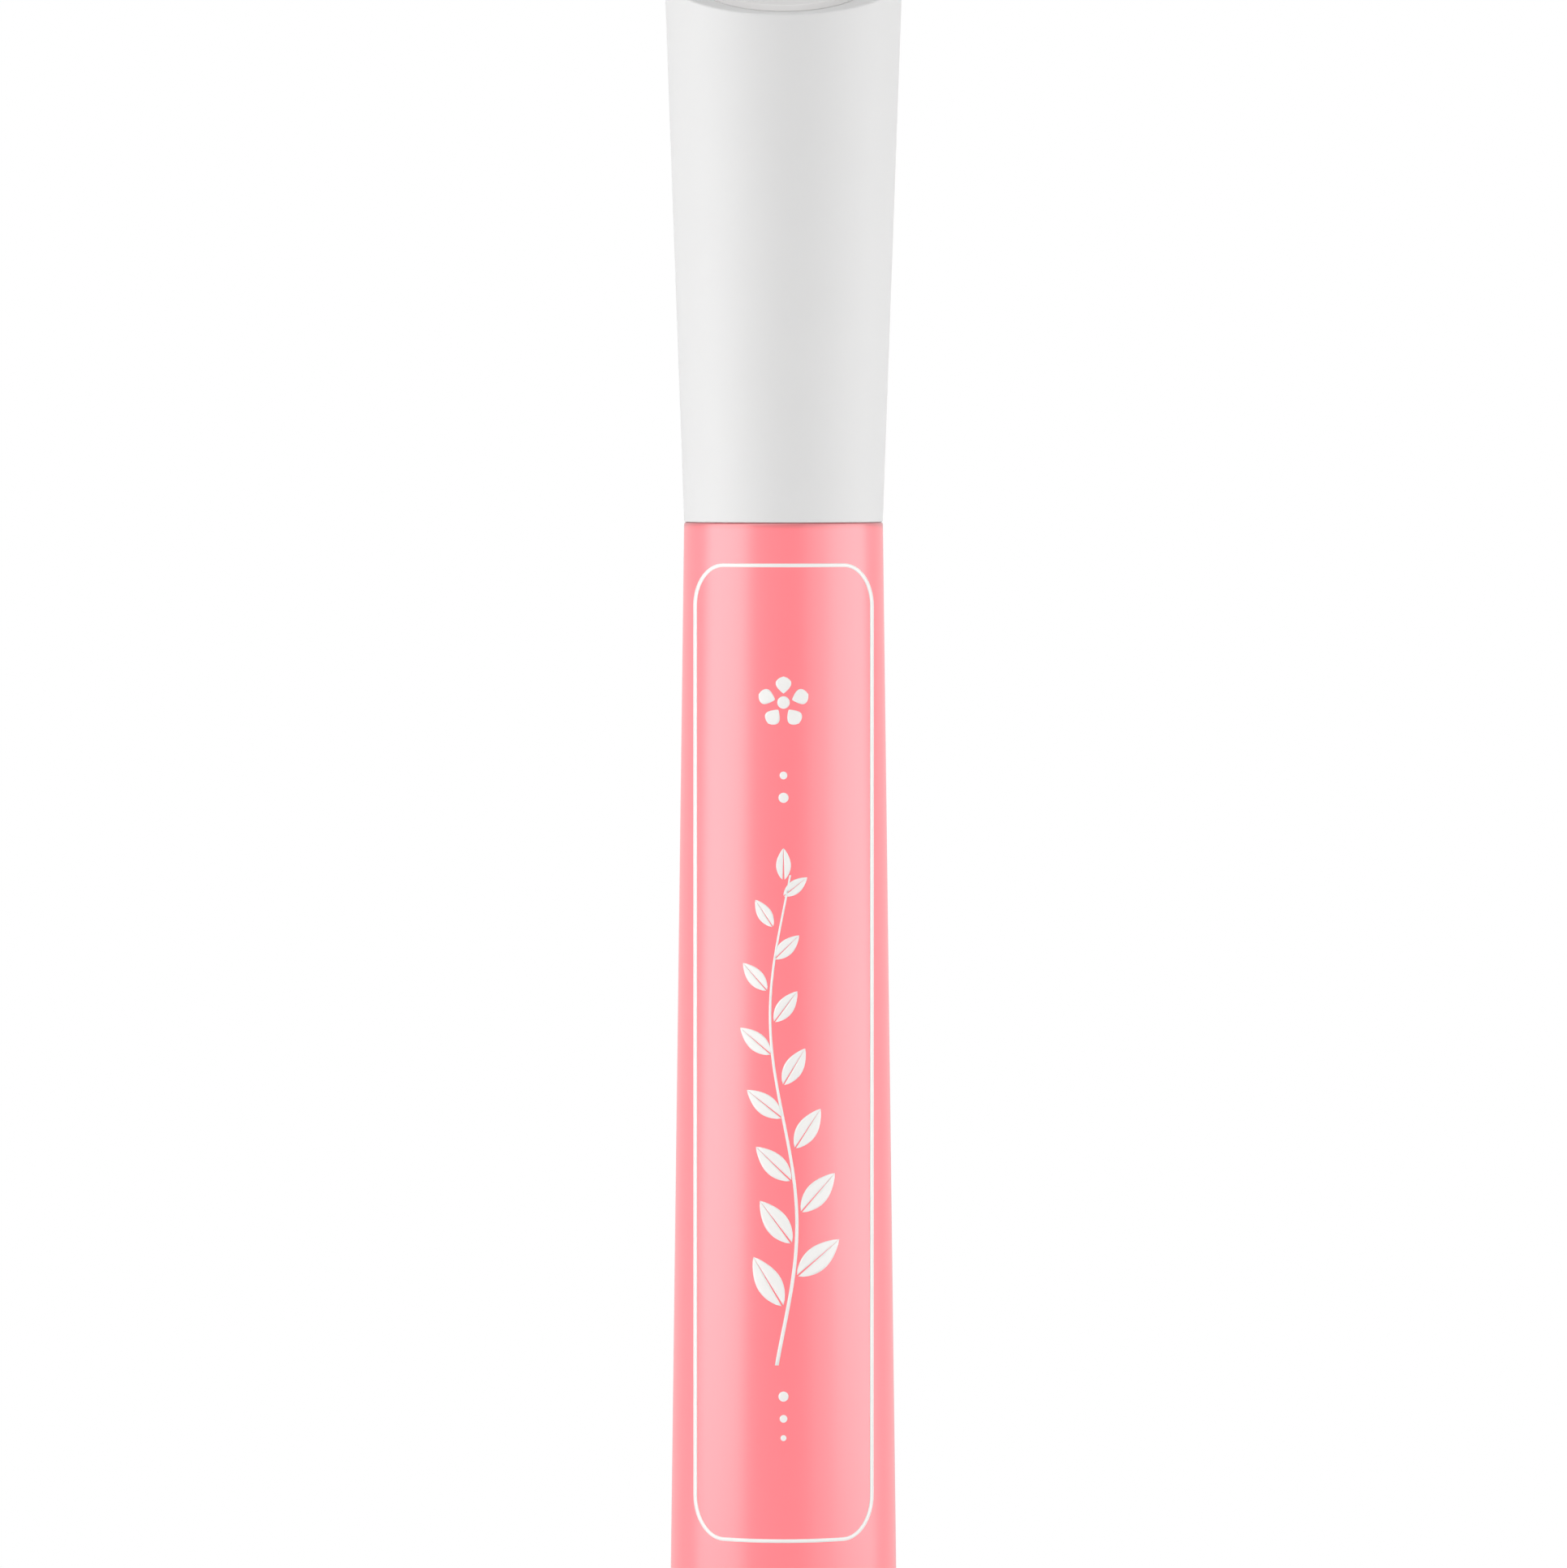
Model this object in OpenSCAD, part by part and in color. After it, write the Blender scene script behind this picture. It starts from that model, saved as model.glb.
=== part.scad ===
// Twist-up nail oil pen. It stands on its foot, with the cap on top and the pen's axis along Z.
// The origin is the middle of the foot. The top of the cap slants down towards -Y, the front.
// Turning the knob screws the piston up the barrel, which presses oil through the feed tube
// into the brush.

/* [Outer form] */
// Diameter where the cap meets the barrel, the pen's waist
joint_d = 13.5; // [13.2:0.1:14.6]
// Diameter of the foot
base_d = 15.9; // [15.4:0.1:18]
// Height of the twist knob
knob_len = 20; // [18:0.5:24]
// Length of the barrel above the knob
barrel_len = 71.5; // [66:0.5:80]
// Height of the cap from its mouth to the middle of its slanted top
cap_len = 36.8; // [36:0.1:42]
// Diameter of the cap's flare at that height
cap_top_d = 16.1; // [15.2:0.1:17.4]
// Slant of the cap's top face, in degrees
cap_slant = 20; // [12:1:22]
// Edge rounding of the cap's mouth, the barrel and the knob's top
edge_r = 0.15; // [0.1:0.05:0.4]
// Edge rounding of the foot
foot_r = 0.5; // [0.3:0.05:0.6]

/* [Cap] */
// Wall of the cap at its mouth
cap_wall = 0.9; // [0.8:0.05:1.1]
// Width of the flat lip round the top
lip_w = 0.4; // [0.3:0.05:0.8]
// Step from the lip down into the dish
lip_step = 0.12; // [0.05:0.01:0.2]
// Depth of the dish in the top, where it meets the disc
dish_depth = 0.7; // [0.35:0.05:0.8]
// Thickness of the top under the dish
cap_web = 1.4; // [1:0.1:2]
// Diameter of the disc set in the top, over its raised edge
disc_d = 11; // [9:0.1:11.6]
// Height of the disc's raised edge
disc_bead = 0.25; // [0.2:0.05:0.45]
// Width of the disc's raised edge
disc_bead_w = 0.8; // [0.5:0.05:1.2]
// Wall of the sealing liner inside the cap
liner_wall = 0.7; // [0.5:0.05:0.8]
// Thickness of the liner's closed end
liner_end = 1; // [0.8:0.1:1.5]
// Height of the liner's lip, which seals on the nozzle
liner_lip = 1.2; // [1:0.1:1.4]
// Width of the liner's ribs
rib_w = 0.9; // [0.7:0.1:1.4]

/* [Barrel and collar] */
// Wall of the barrel at the waist, round the reservoir
barrel_wall = 1.2; // [1.1:0.05:1.4]
// Height of the collar's neck, which the cap slides over
neck_h = 8; // [7:0.5:9]
// Length of the collar's plug inside the reservoir
plug_len = 3.5; // [3:0.1:3.6]
// Thickness of the collar's flange, let into the barrel
flange_t = 1; // [0.8:0.1:1.3]
// Width of the step that carries the flange
flange_step = 0.45; // [0.35:0.05:0.5]
// Thickness of the collar's floor
collar_floor = 1.4; // [1:0.1:1.6]
// Height of the bead that snaps into the cap
snap_bead = 0.12; // [0.08:0.01:0.14]
// Width of that bead and of the knob's bead
bead_w = 0.9; // [0.7:0.1:1.1]
// Height of the seal rings in their grooves
seal_w = 1.1; // [0.9:0.1:1.3]
// Depth of the seal rings' grooves
groove_depth = 0.35; // [0.3:0.01:0.4]

/* [Nozzle and brush] */
// Diameter of the nozzle where it leaves the collar
nozzle_d = 8.6; // [8.2:0.1:8.8]
// Diameter of the nozzle's plug inside the collar
nozzle_plug_d = 7.4; // [7:0.1:7.6]
// Height of the straight band that the cap's liner seals on
nozzle_band = 1.8; // [1.6:0.1:2.2]
// Height of the nozzle's cone above the band
nozzle_h = 5; // [4:0.5:5.5]
// Wall of the nozzle
nozzle_wall = 0.9; // [0.7:0.05:1]
// Outer diameter of the ring that holds the bristles
ring_d = 4; // [3.8:0.1:4.2]
// Wall of that ring
ring_wall = 0.3; // [0.2:0.05:0.35]
// Length of that ring
ring_len = 5; // [4:0.5:5.5]
// How far the ring stands out of the nozzle
ring_out = 1.2; // [0.8:0.1:1.6]
// Length of the bristles beyond the ring
brush_len = 9.4; // [8:0.2:9.8]
// Thickness of one bristle at its root
bristle_d = 0.1; // [0.08:0.01:0.11]
// Outer diameter of the feed tube
tube_d = 1; // [0.9:0.1:1.2]
// Bore of the feed tube
tube_bore = 0.5; // [0.4:0.1:0.6]

/* [Screw drive] */
// Travel of the piston for one turn of the knob
pitch = 2.5; // [2:0.1:3]
// Diameter of the lead screw over its thread
screw_d = 4; // [3.8:0.1:4.2]
// Depth of the thread
thread_depth = 0.45; // [0.35:0.05:0.5]
// Distance across the lead screw's two flats
screw_flats = 2.9; // [2.7:0.1:3]
// Diameter of the lead screw's head, held in the piston
head_d = 3.6; // [3.2:0.1:3.8]
// Diameter of the neck under that head
head_neck_d = 2.4; // [2.2:0.1:2.6]
// Thickness of that head
head_h = 1.8; // [1.4:0.1:2.2]
// Thickness of the nut
nut_h = 5; // [4.5:0.5:6]
// Thickness of the lip that holds the nut down
nut_lip = 0.6; // [0.5:0.1:1]
// Wall of the mechanism housing
housing_wall = 1.1; // [1:0.05:1.2]
// Diameter of the drive sleeve
sleeve_d = 6.6; // [6.4:0.1:6.8]
// Distance across the drive sleeve's two flats
sleeve_flats = 5.8; // [5.6:0.1:6]
// Thickness of the drive sleeve's flanges
sleeve_flange_t = 1.2; // [1:0.1:1.6]
// Length of the drive sleeve's keyed end
key_len = 6.5; // [5:0.5:8]
// Least length of the lead screw that stays in that end, with the piston driven out
key_grip = 3; // [2:0.5:4]
// Height of the piston
piston_h = 7; // [6.5:0.5:8]
// Wall of the piston's seal, between the core and the bore
piston_wall = 1.4; // [1.2:0.1:1.6]
// Thickness of the piston core's rims, and height of each of the seal's lips
piston_rim = 0.5; // [0.4:0.05:0.6]

/* [Ratchet] */
// Height of the ratchet teeth, which is also the click ring's lift
tooth_h = 0.6; // [0.4:0.05:0.7]
// Number of ratchet teeth, and of clicks in a turn
teeth = 12; // [10:1:16]
// Thickness of the click ring behind its teeth
click_t = 2; // [1.6:0.1:2.5]
// Length of the spring with the pen at rest
spring_len = 7; // [6:0.5:8]
// Thickness of the spring's wire
wire_d = 0.5; // [0.4:0.05:0.55]
// Turns of the spring
spring_turns = 5; // [4:1:6]

/* [Knob] */
// Wall of the knob at its top, round the housing's journal
knob_wall = 1.2; // [1.1:0.05:1.3]
// Thickness of the web that carries the drive sleeve
knob_web = 2; // [1.6:0.1:3]
// Height of the plug that closes the foot
foot_plug_h = 2.2; // [1.8:0.1:3]
// How far that plug lies above the foot's rim
foot_recess = 0.4; // [0.2:0.05:0.6]
// Width of the foot's rim, outside the plug
foot_rim = 1.3; // [1.2:0.05:1.5]
// Distance across the hexagon that turns the drive sleeve
hex_af = 6; // [5.8:0.1:6.2]
// Distance of the drag ring under the knob's top
drag_inset = 2; // [1.5:0.1:3]

/* [Fits] */
// Radial gap at a fixed fit
fit_gap = 0.03; // [0.02:0.01:0.04]
// Radial gap of the piston's seal in the reservoir
seal_gap = 0.05; // [0.03:0.01:0.07]
// Radial gap at a turning or sliding fit
run_gap = 0.1; // [0.08:0.01:0.12]
// Gap at the two seams that show on the outside
seam_gap = 0.1; // [0.06:0.01:0.12]
// Gap between parts that stop short of each other
end_gap = 0.35; // [0.3:0.01:0.4]
// Radial gap of the thread
thread_gap = 0.2; // [0.16:0.01:0.22]

/* [Hidden] */
$fn = 96;
// How far cutting solids run past what they cut
cut = 1;
// Points on a rounded edge
edge_steps = 5;
// Half the angle that the thread's crest takes of a turn, and the angle where its flank ends
crest_angle = 50;
flank_angle = 95;
// Sides of the spring's wire, and its rings in a turn
wire_sides = 8;
wire_steps = 18;
// Number of bristles, and the angle between one and the next
bristles = 320;
bristle_turn = 137.508;
// Number of ribs on the liner
liner_ribs = 6;
// Height of the liner's grip band, as a share of its height
liner_band_share = 0.12;
// Slopes of the raised edge on the disc: shares of its half width, and of its height
bead_in_shares = [[1, 0], [0.8, 0.7], [0.4, 1]];
// Depth of the disc's middle, as a share of the raised edge's height
disc_sink_share = 0.4;
// Width of a snap bead's top, as a share of the bead
bead_top_share = 0.33;
// Brush: how far up its belly is, how wide that is, how the tips draw in towards the middle,
// how much shorter the outermost bristles are, and how thick a bristle ends
belly_share = 0.35;
belly_width_share = 1.12;
tip_width_share = 0.42;
outer_short_share = 0.35;
bristle_tip_share = 0.25;
// Radius of the hollow that the innermost bristles leave at the tip
tip_hollow = 0.2;
// Height of the bristles' fused root
root_h = 1.5;

// Levels along the axis, from the foot up
foot_plug_top = foot_recess + foot_plug_h;
web_top = foot_plug_top + knob_web;
barrel_z = knob_len + seam_gap;
joint_z = barrel_z + barrel_len;
cap_z = joint_z + seam_gap;
screw_z = foot_plug_top + end_gap;
collar_z = joint_z - flange_t - plug_len;
neck_top = joint_z + neck_h;
// The stroke is a whole number of turns. The lead screw needs its length twice: stored, and driven out
drive_len = nut_h + nut_lip + piston_h + key_grip + 3 * end_gap;
turns = floor((collar_z - screw_z - drive_len) / (2 * pitch));
stroke = turns * pitch;
piston_z = collar_z - end_gap - stroke - piston_h;
piston_top = piston_z + piston_h;
housing_top = piston_z - end_gap;
nut_top = housing_top - nut_lip;
nut_z = nut_top - nut_h;
head_z = piston_z + 2 * piston_rim + head_h / 2;
housing_z = web_top + sleeve_flange_t + end_gap;
knob_bead_z = housing_z + seal_w;
drag_z = knob_len - drag_inset - seal_w;
collar_seal_z = collar_z + (plug_len - seal_w) / 2;
neck_bead_z = joint_z + neck_h / 2;

// The click ring, held down by one tooth at rest, and the spring under it
click_top = nut_z - run_gap - 2 * tooth_h;
click_z = click_top - click_t;
spring_z = click_z - spring_len;
sleeve_top = nut_z - end_gap;

// Radii and diameters
bore_d = joint_d - 2 * barrel_wall;
step_d = bore_d + 2 * flange_step;
plug_d = bore_d - 2 * fit_gap;
housing_d = step_d - 2 * fit_gap;
housing_bore_d = housing_d - 2 * housing_wall;
knob_bore_d = body_d(knob_len) - 2 * knob_wall;
journal_d = knob_bore_d - 2 * run_gap;
cap_bore_d = joint_d - 2 * cap_wall;
neck_d = cap_bore_d - 2 * snap_bead - 2 * run_gap;
liner_d = cap_bore_d - 2 * fit_gap;
liner_bore_d = nozzle_d + 2 * end_gap;
liner_body_d = liner_bore_d + 2 * liner_wall;
foot_plug_d = base_d - 2 * foot_rim - 2 * fit_gap;
sleeve_bore_d = screw_d + 2 * end_gap;
ring_seat_d = ring_d + 2 * fit_gap;
brush_d = ring_d - 2 * ring_wall - 2 * fit_gap;
click_d = housing_bore_d - 2 * end_gap;
core_d = bore_d - 2 * piston_wall;
spigot_d = disc_d - 2 * disc_bead_w;
spring_r = sleeve_d / 2 + run_gap + fit_gap + wire_d / 2;
tooth_in = sleeve_d / 2 + end_gap;
tooth_w = 2 * (tooth_in * tan(180 / teeth) - fit_gap);
tooth_out = sqrt(pow(click_d / 2 - fit_gap, 2) - pow(tooth_w / 2, 2));

// The slanted top of the cap: its middle, and the ceiling under it
face_z = cap_z + cap_len;
top_depth = dish_depth + cap_web;
ceiling_z = face_z - top_depth / cos(cap_slant) - cap_bore_d / 2 * tan(cap_slant);
liner_z = neck_top + end_gap;
liner_top = ceiling_z - end_gap;

// The nozzle, its ring and the brush
cone_z = neck_top + nozzle_band;
nozzle_top = cone_z + nozzle_h;
nozzle_foot = collar_z + collar_floor + end_gap;
ring_z = nozzle_top + ring_out - ring_len;
ring_top = ring_z + ring_len;
root_z = ring_z + end_gap;

// Diameter of the outer cone of barrel and knob at a height
function body_d(z) = base_d + (joint_d - base_d) * z / joint_z;
// Diameter of the cap's outer cone at a height
function cap_d(z) = joint_d + (cap_top_d - joint_d) * (z - cap_z) / cap_len;
// Points of a quarter round about a centre, from angle a0 to a1
function round_points(x, z, r, a0, a1) =
    [for (i = [0 : edge_steps]) let (a = a0 + (a1 - a0) * i / edge_steps) [x + r * cos(a), z + r * sin(a)]];

// A turned solid cone between two heights, with its two outer edges rounded
module rounded_cone(z0, z1, d0, d1, r0, r1) {
    rotate_extrude()
        polygon(concat([[0, z0]],
                       round_points(d0 / 2 - r0, z0 + r0, r0, -90, 0),
                       round_points(d1 / 2 - r1, z1 - r1, r1, 0, 90),
                       [[0, z1]]));
}

// A solid round bar from z0 to z1
module bar(z0, z1, d) {
    translate([0, 0, z0]) cylinder(h = z1 - z0, d = d);
}

// A ring from z0 to z1
module tube(z0, z1, outer_d, inner_d) {
    difference() {
        bar(z0, z1, outer_d);
        bar(z0 - cut, z1 + cut, inner_d);
    }
}

// A round bar with two flats that face along X
module flatted_bar(z0, z1, d, flats) {
    intersection() {
        bar(z0, z1, d);
        translate([-flats / 2, -d, z0]) cube([flats, 2 * d, z1 - z0]);
    }
}

// A seal ring pressed flat in its groove, between two radii
module seal_ring(z, inner_r, outer_r) {
    bevel = (outer_r - inner_r) / 4;
    low = z + fit_gap;
    high = z + seal_w - fit_gap;
    rotate_extrude()
        polygon([[inner_r, low + bevel], [inner_r + bevel, low], [outer_r - bevel, low],
                 [outer_r, low + bevel], [outer_r, high - bevel], [outer_r - bevel, high],
                 [inner_r + bevel, high], [inner_r, high - bevel]]);
}

// A right-handed thread as a solid bar, in step with every other thread on the axis.
// Its rows of points follow the helix. The columns are the angles at which it has points,
// and flats is the distance across two flats that face along X, or 0 for a round bar.
module thread(z0, z1, crest_r, root_r, flats, columns) {
    n = len(columns);
    breaks = [-crest_angle, crest_angle, flank_angle, 360 - flank_angle];
    k0 = 4 * (floor(z0 / pitch) - 2);
    k1 = 4 * (ceil(z1 / pitch) + 1);
    rows = k1 + 5 - k0;
    function row_z(k, a) = pitch * (a + 360 * floor(k / 4) + breaks[k - 4 * floor(k / 4)]) / 360;
    function phase(a) = abs(a - 360 * round(a / 360));
    function slope_share(a) = min(1, max(0, (phase(a) - crest_angle) / (flank_angle - crest_angle)));
    function thread_r(a, z) = crest_r - (crest_r - root_r) * slope_share(360 * z / pitch - a);
    function flatted_r(a, r) = flats / 2 < r * abs(cos(a)) && flats > 0 ? flats / 2 / abs(cos(a)) : r;
    // The last row under z0 and the first over z1, where each column is cut off level
    low = [for (a = columns) max([for (k = [k0 : k1 + 4]) if (row_z(k, a) <= z0) k])];
    high = [for (a = columns) min([for (k = [k0 : k1 + 4]) if (row_z(k, a) >= z1) k])];
    points = [for (a = columns, k = [k0 : k1 + 4])
        let (z = min(z1, max(z0, row_z(k, a))), r = flatted_r(a, thread_r(a, z)))
        [r * cos(a), r * sin(a), z]];
    function at(k, j) =
        let (c = j % n, q = j < n ? k : k + 4) rows * c + min(high[c], max(low[c], q)) - k0;
    function is_face(t) = t[0] != t[1] && t[1] != t[2] && t[2] != t[0];
    sides = [for (j = [0 : n - 1], k = [k0 : k1 - 1])
        each [[at(k, j), at(k + 1, j), at(k + 1, j + 1)], [at(k, j), at(k + 1, j + 1), at(k, j + 1)]]];
    middle = len(points);
    polyhedron(
        points = concat(points, [[0, 0, z0], [0, 0, z1]]),
        faces = concat([for (t = sides) if (is_face(t)) t],
                       [for (j = [0 : n - 1]) [middle, at(k0, j), at(k0, j + 1)]],
                       [for (j = [0 : n - 1]) [middle + 1, at(k1, j + 1), at(k1, j)]]));
}

// Columns for a thread with flats: closer together at the corners of the flats
quarter_turn = [20, 28, 36, 44, 59, 74.5];
half_turn = concat(quarter_turn, [90], [for (i = [len(quarter_turn) - 1 : -1 : 0]) 180 - quarter_turn[i]]);
flat_columns = concat(half_turn, [for (a = half_turn) 180 + a]);
// Columns for a round thread
round_columns = [for (i = [0 : 23]) 360 * i / 24];

// A ring of saw teeth from an outline that is drawn with the way round as X and up as Y
module saw_ring(z, outline) {
    for (i = [0 : teeth - 1])
        rotate([0, 0, 360 * i / teeth])
            translate([tooth_in, 0, z])
                rotate([90, 0, 90])
                    linear_extrude(tooth_out - tooth_in)
                        polygon(outline);
}

// Places children in the frame of the cap's top face, with Z along the face's normal
module on_face() {
    translate([0, 0, face_z]) rotate([cap_slant, 0, 0]) children();
}

// Everything under a plane parallel to the cap's top face, a given depth below it
module below_face(depth) {
    size = 4 * cap_len;
    on_face() translate([-size / 2, -size / 2, -depth - size]) cube([size, size, size]);
}

// Cap sleeve: flares to its top, which is cut on the slant and dished, with a hole for the disc
module cap_shell() {
    over = cap_z + cap_len + cap_top_d;
    dish_r = cap_top_d / 2 / cos(cap_slant);
    color([0.88, 0.88, 0.88]) difference() {
        intersection() {
            rounded_cone(cap_z, over, joint_d, cap_d(over), edge_r, edge_r);
            below_face(0);
        }
        // Bore for the neck and the liner, up to the slanted ceiling
        intersection() {
            bar(cap_z - cut, over, cap_bore_d);
            below_face(top_depth);
        }
        // Groove for the collar's snap bead
        bar(neck_bead_z - bead_w, neck_bead_z + bead_w, cap_bore_d + 2 * snap_bead);
        // The dish, inside an upright wall that leaves an even lip
        intersection() {
            bar(cap_z + cap_len / 2, over, cap_top_d - 2 * lip_w);
            on_face() union() {
                translate([0, 0, -dish_depth])
                    cylinder(h = dish_depth - lip_step, r1 = disc_d / 2 + run_gap, r2 = dish_r);
                translate([0, 0, -lip_step]) cylinder(h = cap_top_d, r = dish_r);
            }
        }
        // Hole for the disc's spigot
        on_face() translate([0, 0, -top_depth - cut]) cylinder(h = top_depth + cut, d = spigot_d);
    }
}

// Disc that closes the top of the cap, with a raised round edge and a shallow dish
module cap_top_disc() {
    bead_r = disc_bead_w / 2;
    ridge = [for (p = bead_in_shares) [p[0] * bead_r, p[1] * disc_bead]];
    color([0.86, 0.85, 0.85]) on_face() translate([0, 0, -dish_depth + fit_gap]) difference() {
        union() {
            translate([0, 0, -cap_web]) cylinder(h = cap_web + fit_gap, d = spigot_d - 2 * fit_gap);
            cylinder(h = disc_bead / 2, d = disc_d - disc_bead_w);
            rotate_extrude() translate([disc_d / 2 - bead_r, 0])
                polygon(concat([for (p = ridge) [-p[0], p[1]]], [for (i = [2 : -1 : 0]) ridge[i]]));
        }
        // Shallow cone that dishes the middle
        translate([0, 0, disc_bead * disc_sink_share / 2])
            cylinder(h = disc_bead, d1 = fit_gap, d2 = 2 * disc_d);
    }
}

// Liner that seals round the nozzle: a cup that opens down, with ribs that grip the cap
module cap_liner() {
    height = liner_top - liner_z;
    color([0.93, 0.93, 0.9]) difference() {
        union() {
            bar(liner_z, liner_top, liner_body_d);
            bar(liner_z, liner_z + height * liner_band_share, liner_d);
            intersection() {
                bar(liner_z, liner_top, liner_d);
                for (i = [0 : liner_ribs - 1])
                    rotate([0, 0, 360 * i / liner_ribs])
                        translate([0, -rib_w / 2, liner_z]) cube([liner_d, rib_w, height]);
            }
        }
        bar(liner_z + liner_lip, liner_top - liner_end, liner_bore_d);
        bar(liner_z - cut, liner_z + liner_lip + cut, nozzle_d + 2 * run_gap);
    }
}

// Barrel: flared outside, with a straight reservoir bore and a seat at each end
module barrel() {
    color([1, 0.6, 0.62]) difference() {
        rounded_cone(barrel_z, joint_z, body_d(barrel_z), joint_d, edge_r, edge_r);
        bar(barrel_z - cut, joint_z + cut, bore_d);
        bar(barrel_z - cut, housing_top + fit_gap, step_d);
        bar(joint_z - flange_t, joint_z + cut, step_d);
    }
}

// Collar: plugs the top of the barrel, carries the nozzle and holds the cap
module front_collar() {
    seat_z = joint_z - flange_t + fit_gap;
    top_w = bead_w * bead_top_share;
    color([0.95, 0.95, 0.95]) difference() {
        union() {
            bar(collar_z, seat_z + fit_gap, plug_d);
            bar(seat_z, joint_z, step_d - 2 * fit_gap);
            bar(seat_z, neck_top, neck_d);
            // Snap bead, a ridge with two slopes
            translate([0, 0, neck_bead_z]) rotate_extrude()
                polygon([[neck_d / 2 - fit_gap, -bead_w / 2], [neck_d / 2 + snap_bead, -top_w / 2],
                         [neck_d / 2 + snap_bead, top_w / 2], [neck_d / 2 - fit_gap, bead_w / 2]]);
        }
        // Socket for the nozzle, and the hole in the floor for the feed tube
        bar(collar_z + collar_floor, neck_top + cut, nozzle_plug_d + 2 * fit_gap);
        bar(collar_z - cut, neck_top, tube_d + 2 * fit_gap);
        tube(collar_seal_z, collar_seal_z + seal_w, step_d + cut, plug_d - 2 * groove_depth);
    }
}

// Seal ring in the collar's groove, pressed flat by the reservoir's bore
module collar_seal() {
    color([0.25, 0.25, 0.27])
        seal_ring(collar_seal_z, plug_d / 2 - groove_depth + fit_gap, bore_d / 2 - fit_gap / 2);
}

// Nozzle: a hollow cone with a plug below, which holds the bristle ring in its tip
module nozzle() {
    tip_d = ring_seat_d + nozzle_wall;
    color([0.96, 0.96, 0.94]) difference() {
        union() {
            bar(nozzle_foot, neck_top + fit_gap, nozzle_plug_d);
            rounded_cone(neck_top + fit_gap, cone_z, nozzle_d, nozzle_d, fit_gap, fit_gap);
            rounded_cone(cone_z - fit_gap, nozzle_top, nozzle_d, tip_d, fit_gap, edge_r);
        }
        bar(nozzle_foot - cut, neck_top - nozzle_wall, nozzle_plug_d - 2 * nozzle_wall);
        // Seat of the bristle ring, and a narrower hole under it
        bar(ring_z, nozzle_top + cut, ring_seat_d);
        bar(nozzle_foot, nozzle_top, ring_d - 2 * ring_wall);
    }
}

// Ring that holds the root of the bristles in the nozzle
module brush_ring() {
    color([0.8, 0.8, 0.82]) tube(ring_z + fit_gap, ring_top, ring_d, ring_d - 2 * ring_wall);
}

// Feed tube: carries oil from the reservoir to the root of the bristles
module feed_tube() {
    color([0.78, 0.8, 0.82]) tube(collar_z, root_z + root_h, tube_d, tube_bore);
}

// One bristle: three sides, tapered, from its root by way of the belly to its tip
module bristle(i) {
    place_share = (i + 1 / 2) / bristles;
    inner_r = tube_d / 2 + 2 * fit_gap + bristle_d / 2;
    outer_r = brush_d / 2 - bristle_d / 2;
    root_r = sqrt(pow(inner_r, 2) + (pow(outer_r, 2) - pow(inner_r, 2)) * place_share);
    belly_r = root_r * belly_width_share;
    belly_z = ring_top + brush_len * belly_share;
    tip_z = ring_top + brush_len * (1 - outer_short_share * place_share);
    // Where the bristle would end at the brush's very tip, and where it does end
    end_r = tip_hollow + (root_r - inner_r) * tip_width_share;
    tip_r = belly_r + (end_r - belly_r) * (tip_z - belly_z) / (ring_top + brush_len - belly_z);
    rings = [[root_r, root_z + root_h / 2, bristle_d / 2], [root_r, ring_top, bristle_d / 2],
             [belly_r, belly_z, bristle_d / 2], [tip_r, tip_z, bristle_d / 2 * bristle_tip_share]];
    sides = [for (k = [0 : 2], s = [0 : 2])
        let (t = (s + 1) % 3, a = 3 * k, b = a + 3)
        each [[a + s, b + s, b + t], [a + s, b + t, a + t]]];
    rotate([0, 0, i * bristle_turn]) polyhedron(
        points = [for (k = rings, s = [0 : 2]) [k[0] + k[2] * cos(120 * s), k[2] * sin(120 * s), k[1]]],
        faces = concat([[0, 1, 2], [9, 11, 10]], sides));
}

// Brush: tapered nylon bristles fused to a slice of their root
module bristle_bundle() {
    color([0.97, 0.96, 0.92]) union() {
        tube(root_z, root_z + root_h, brush_d, tube_d + 2 * fit_gap);
        for (i = [0 : bristles - 1]) bristle(i);
    }
}

// Mechanism housing: fixed in the barrel, with a wider journal under it that the knob turns on
module mechanism_housing() {
    shoulder_z = barrel_z - fit_gap;
    bead_bottom = knob_bead_z - run_gap;
    bead_top = knob_bead_z + bead_w + run_gap;
    groove_d = journal_d - 2 * groove_depth;
    color([0.93, 0.93, 0.93]) difference() {
        union() {
            bar(housing_z, shoulder_z, journal_d);
            bar(shoulder_z, housing_top, housing_d);
        }
        bar(housing_z - cut, nut_top + fit_gap, housing_bore_d);
        bar(housing_z, housing_top + cut, screw_d + 2 * end_gap);
        // Groove that traps the knob's bead, and groove of the drag ring
        tube(bead_bottom, bead_top, journal_d + cut, groove_d);
        tube(drag_z, drag_z + seal_w, journal_d + cut, groove_d);
    }
}

// Ring between housing and knob that gives the knob its smooth drag
module knob_drag_ring() {
    color([0.25, 0.25, 0.27])
        seal_ring(drag_z, journal_d / 2 - groove_depth + fit_gap, knob_bore_d / 2 - fit_gap);
}

// Nut: pressed into the housing, with the inner thread and the fixed ratchet teeth
module screw_nut() {
    color([0.9, 0.9, 0.86]) difference() {
        union() {
            bar(nut_z, nut_top, housing_bore_d - 2 * fit_gap);
            saw_ring(nut_z, [[-tooth_w / 2, fit_gap], [-tooth_w / 2, 0], [tooth_w / 2, -tooth_h],
                             [tooth_w / 2, fit_gap]]);
        }
        thread(nut_z - cut, nut_top + cut, screw_d / 2 + thread_gap,
               screw_d / 2 - thread_depth + thread_gap, 0, round_columns);
    }
}

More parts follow.
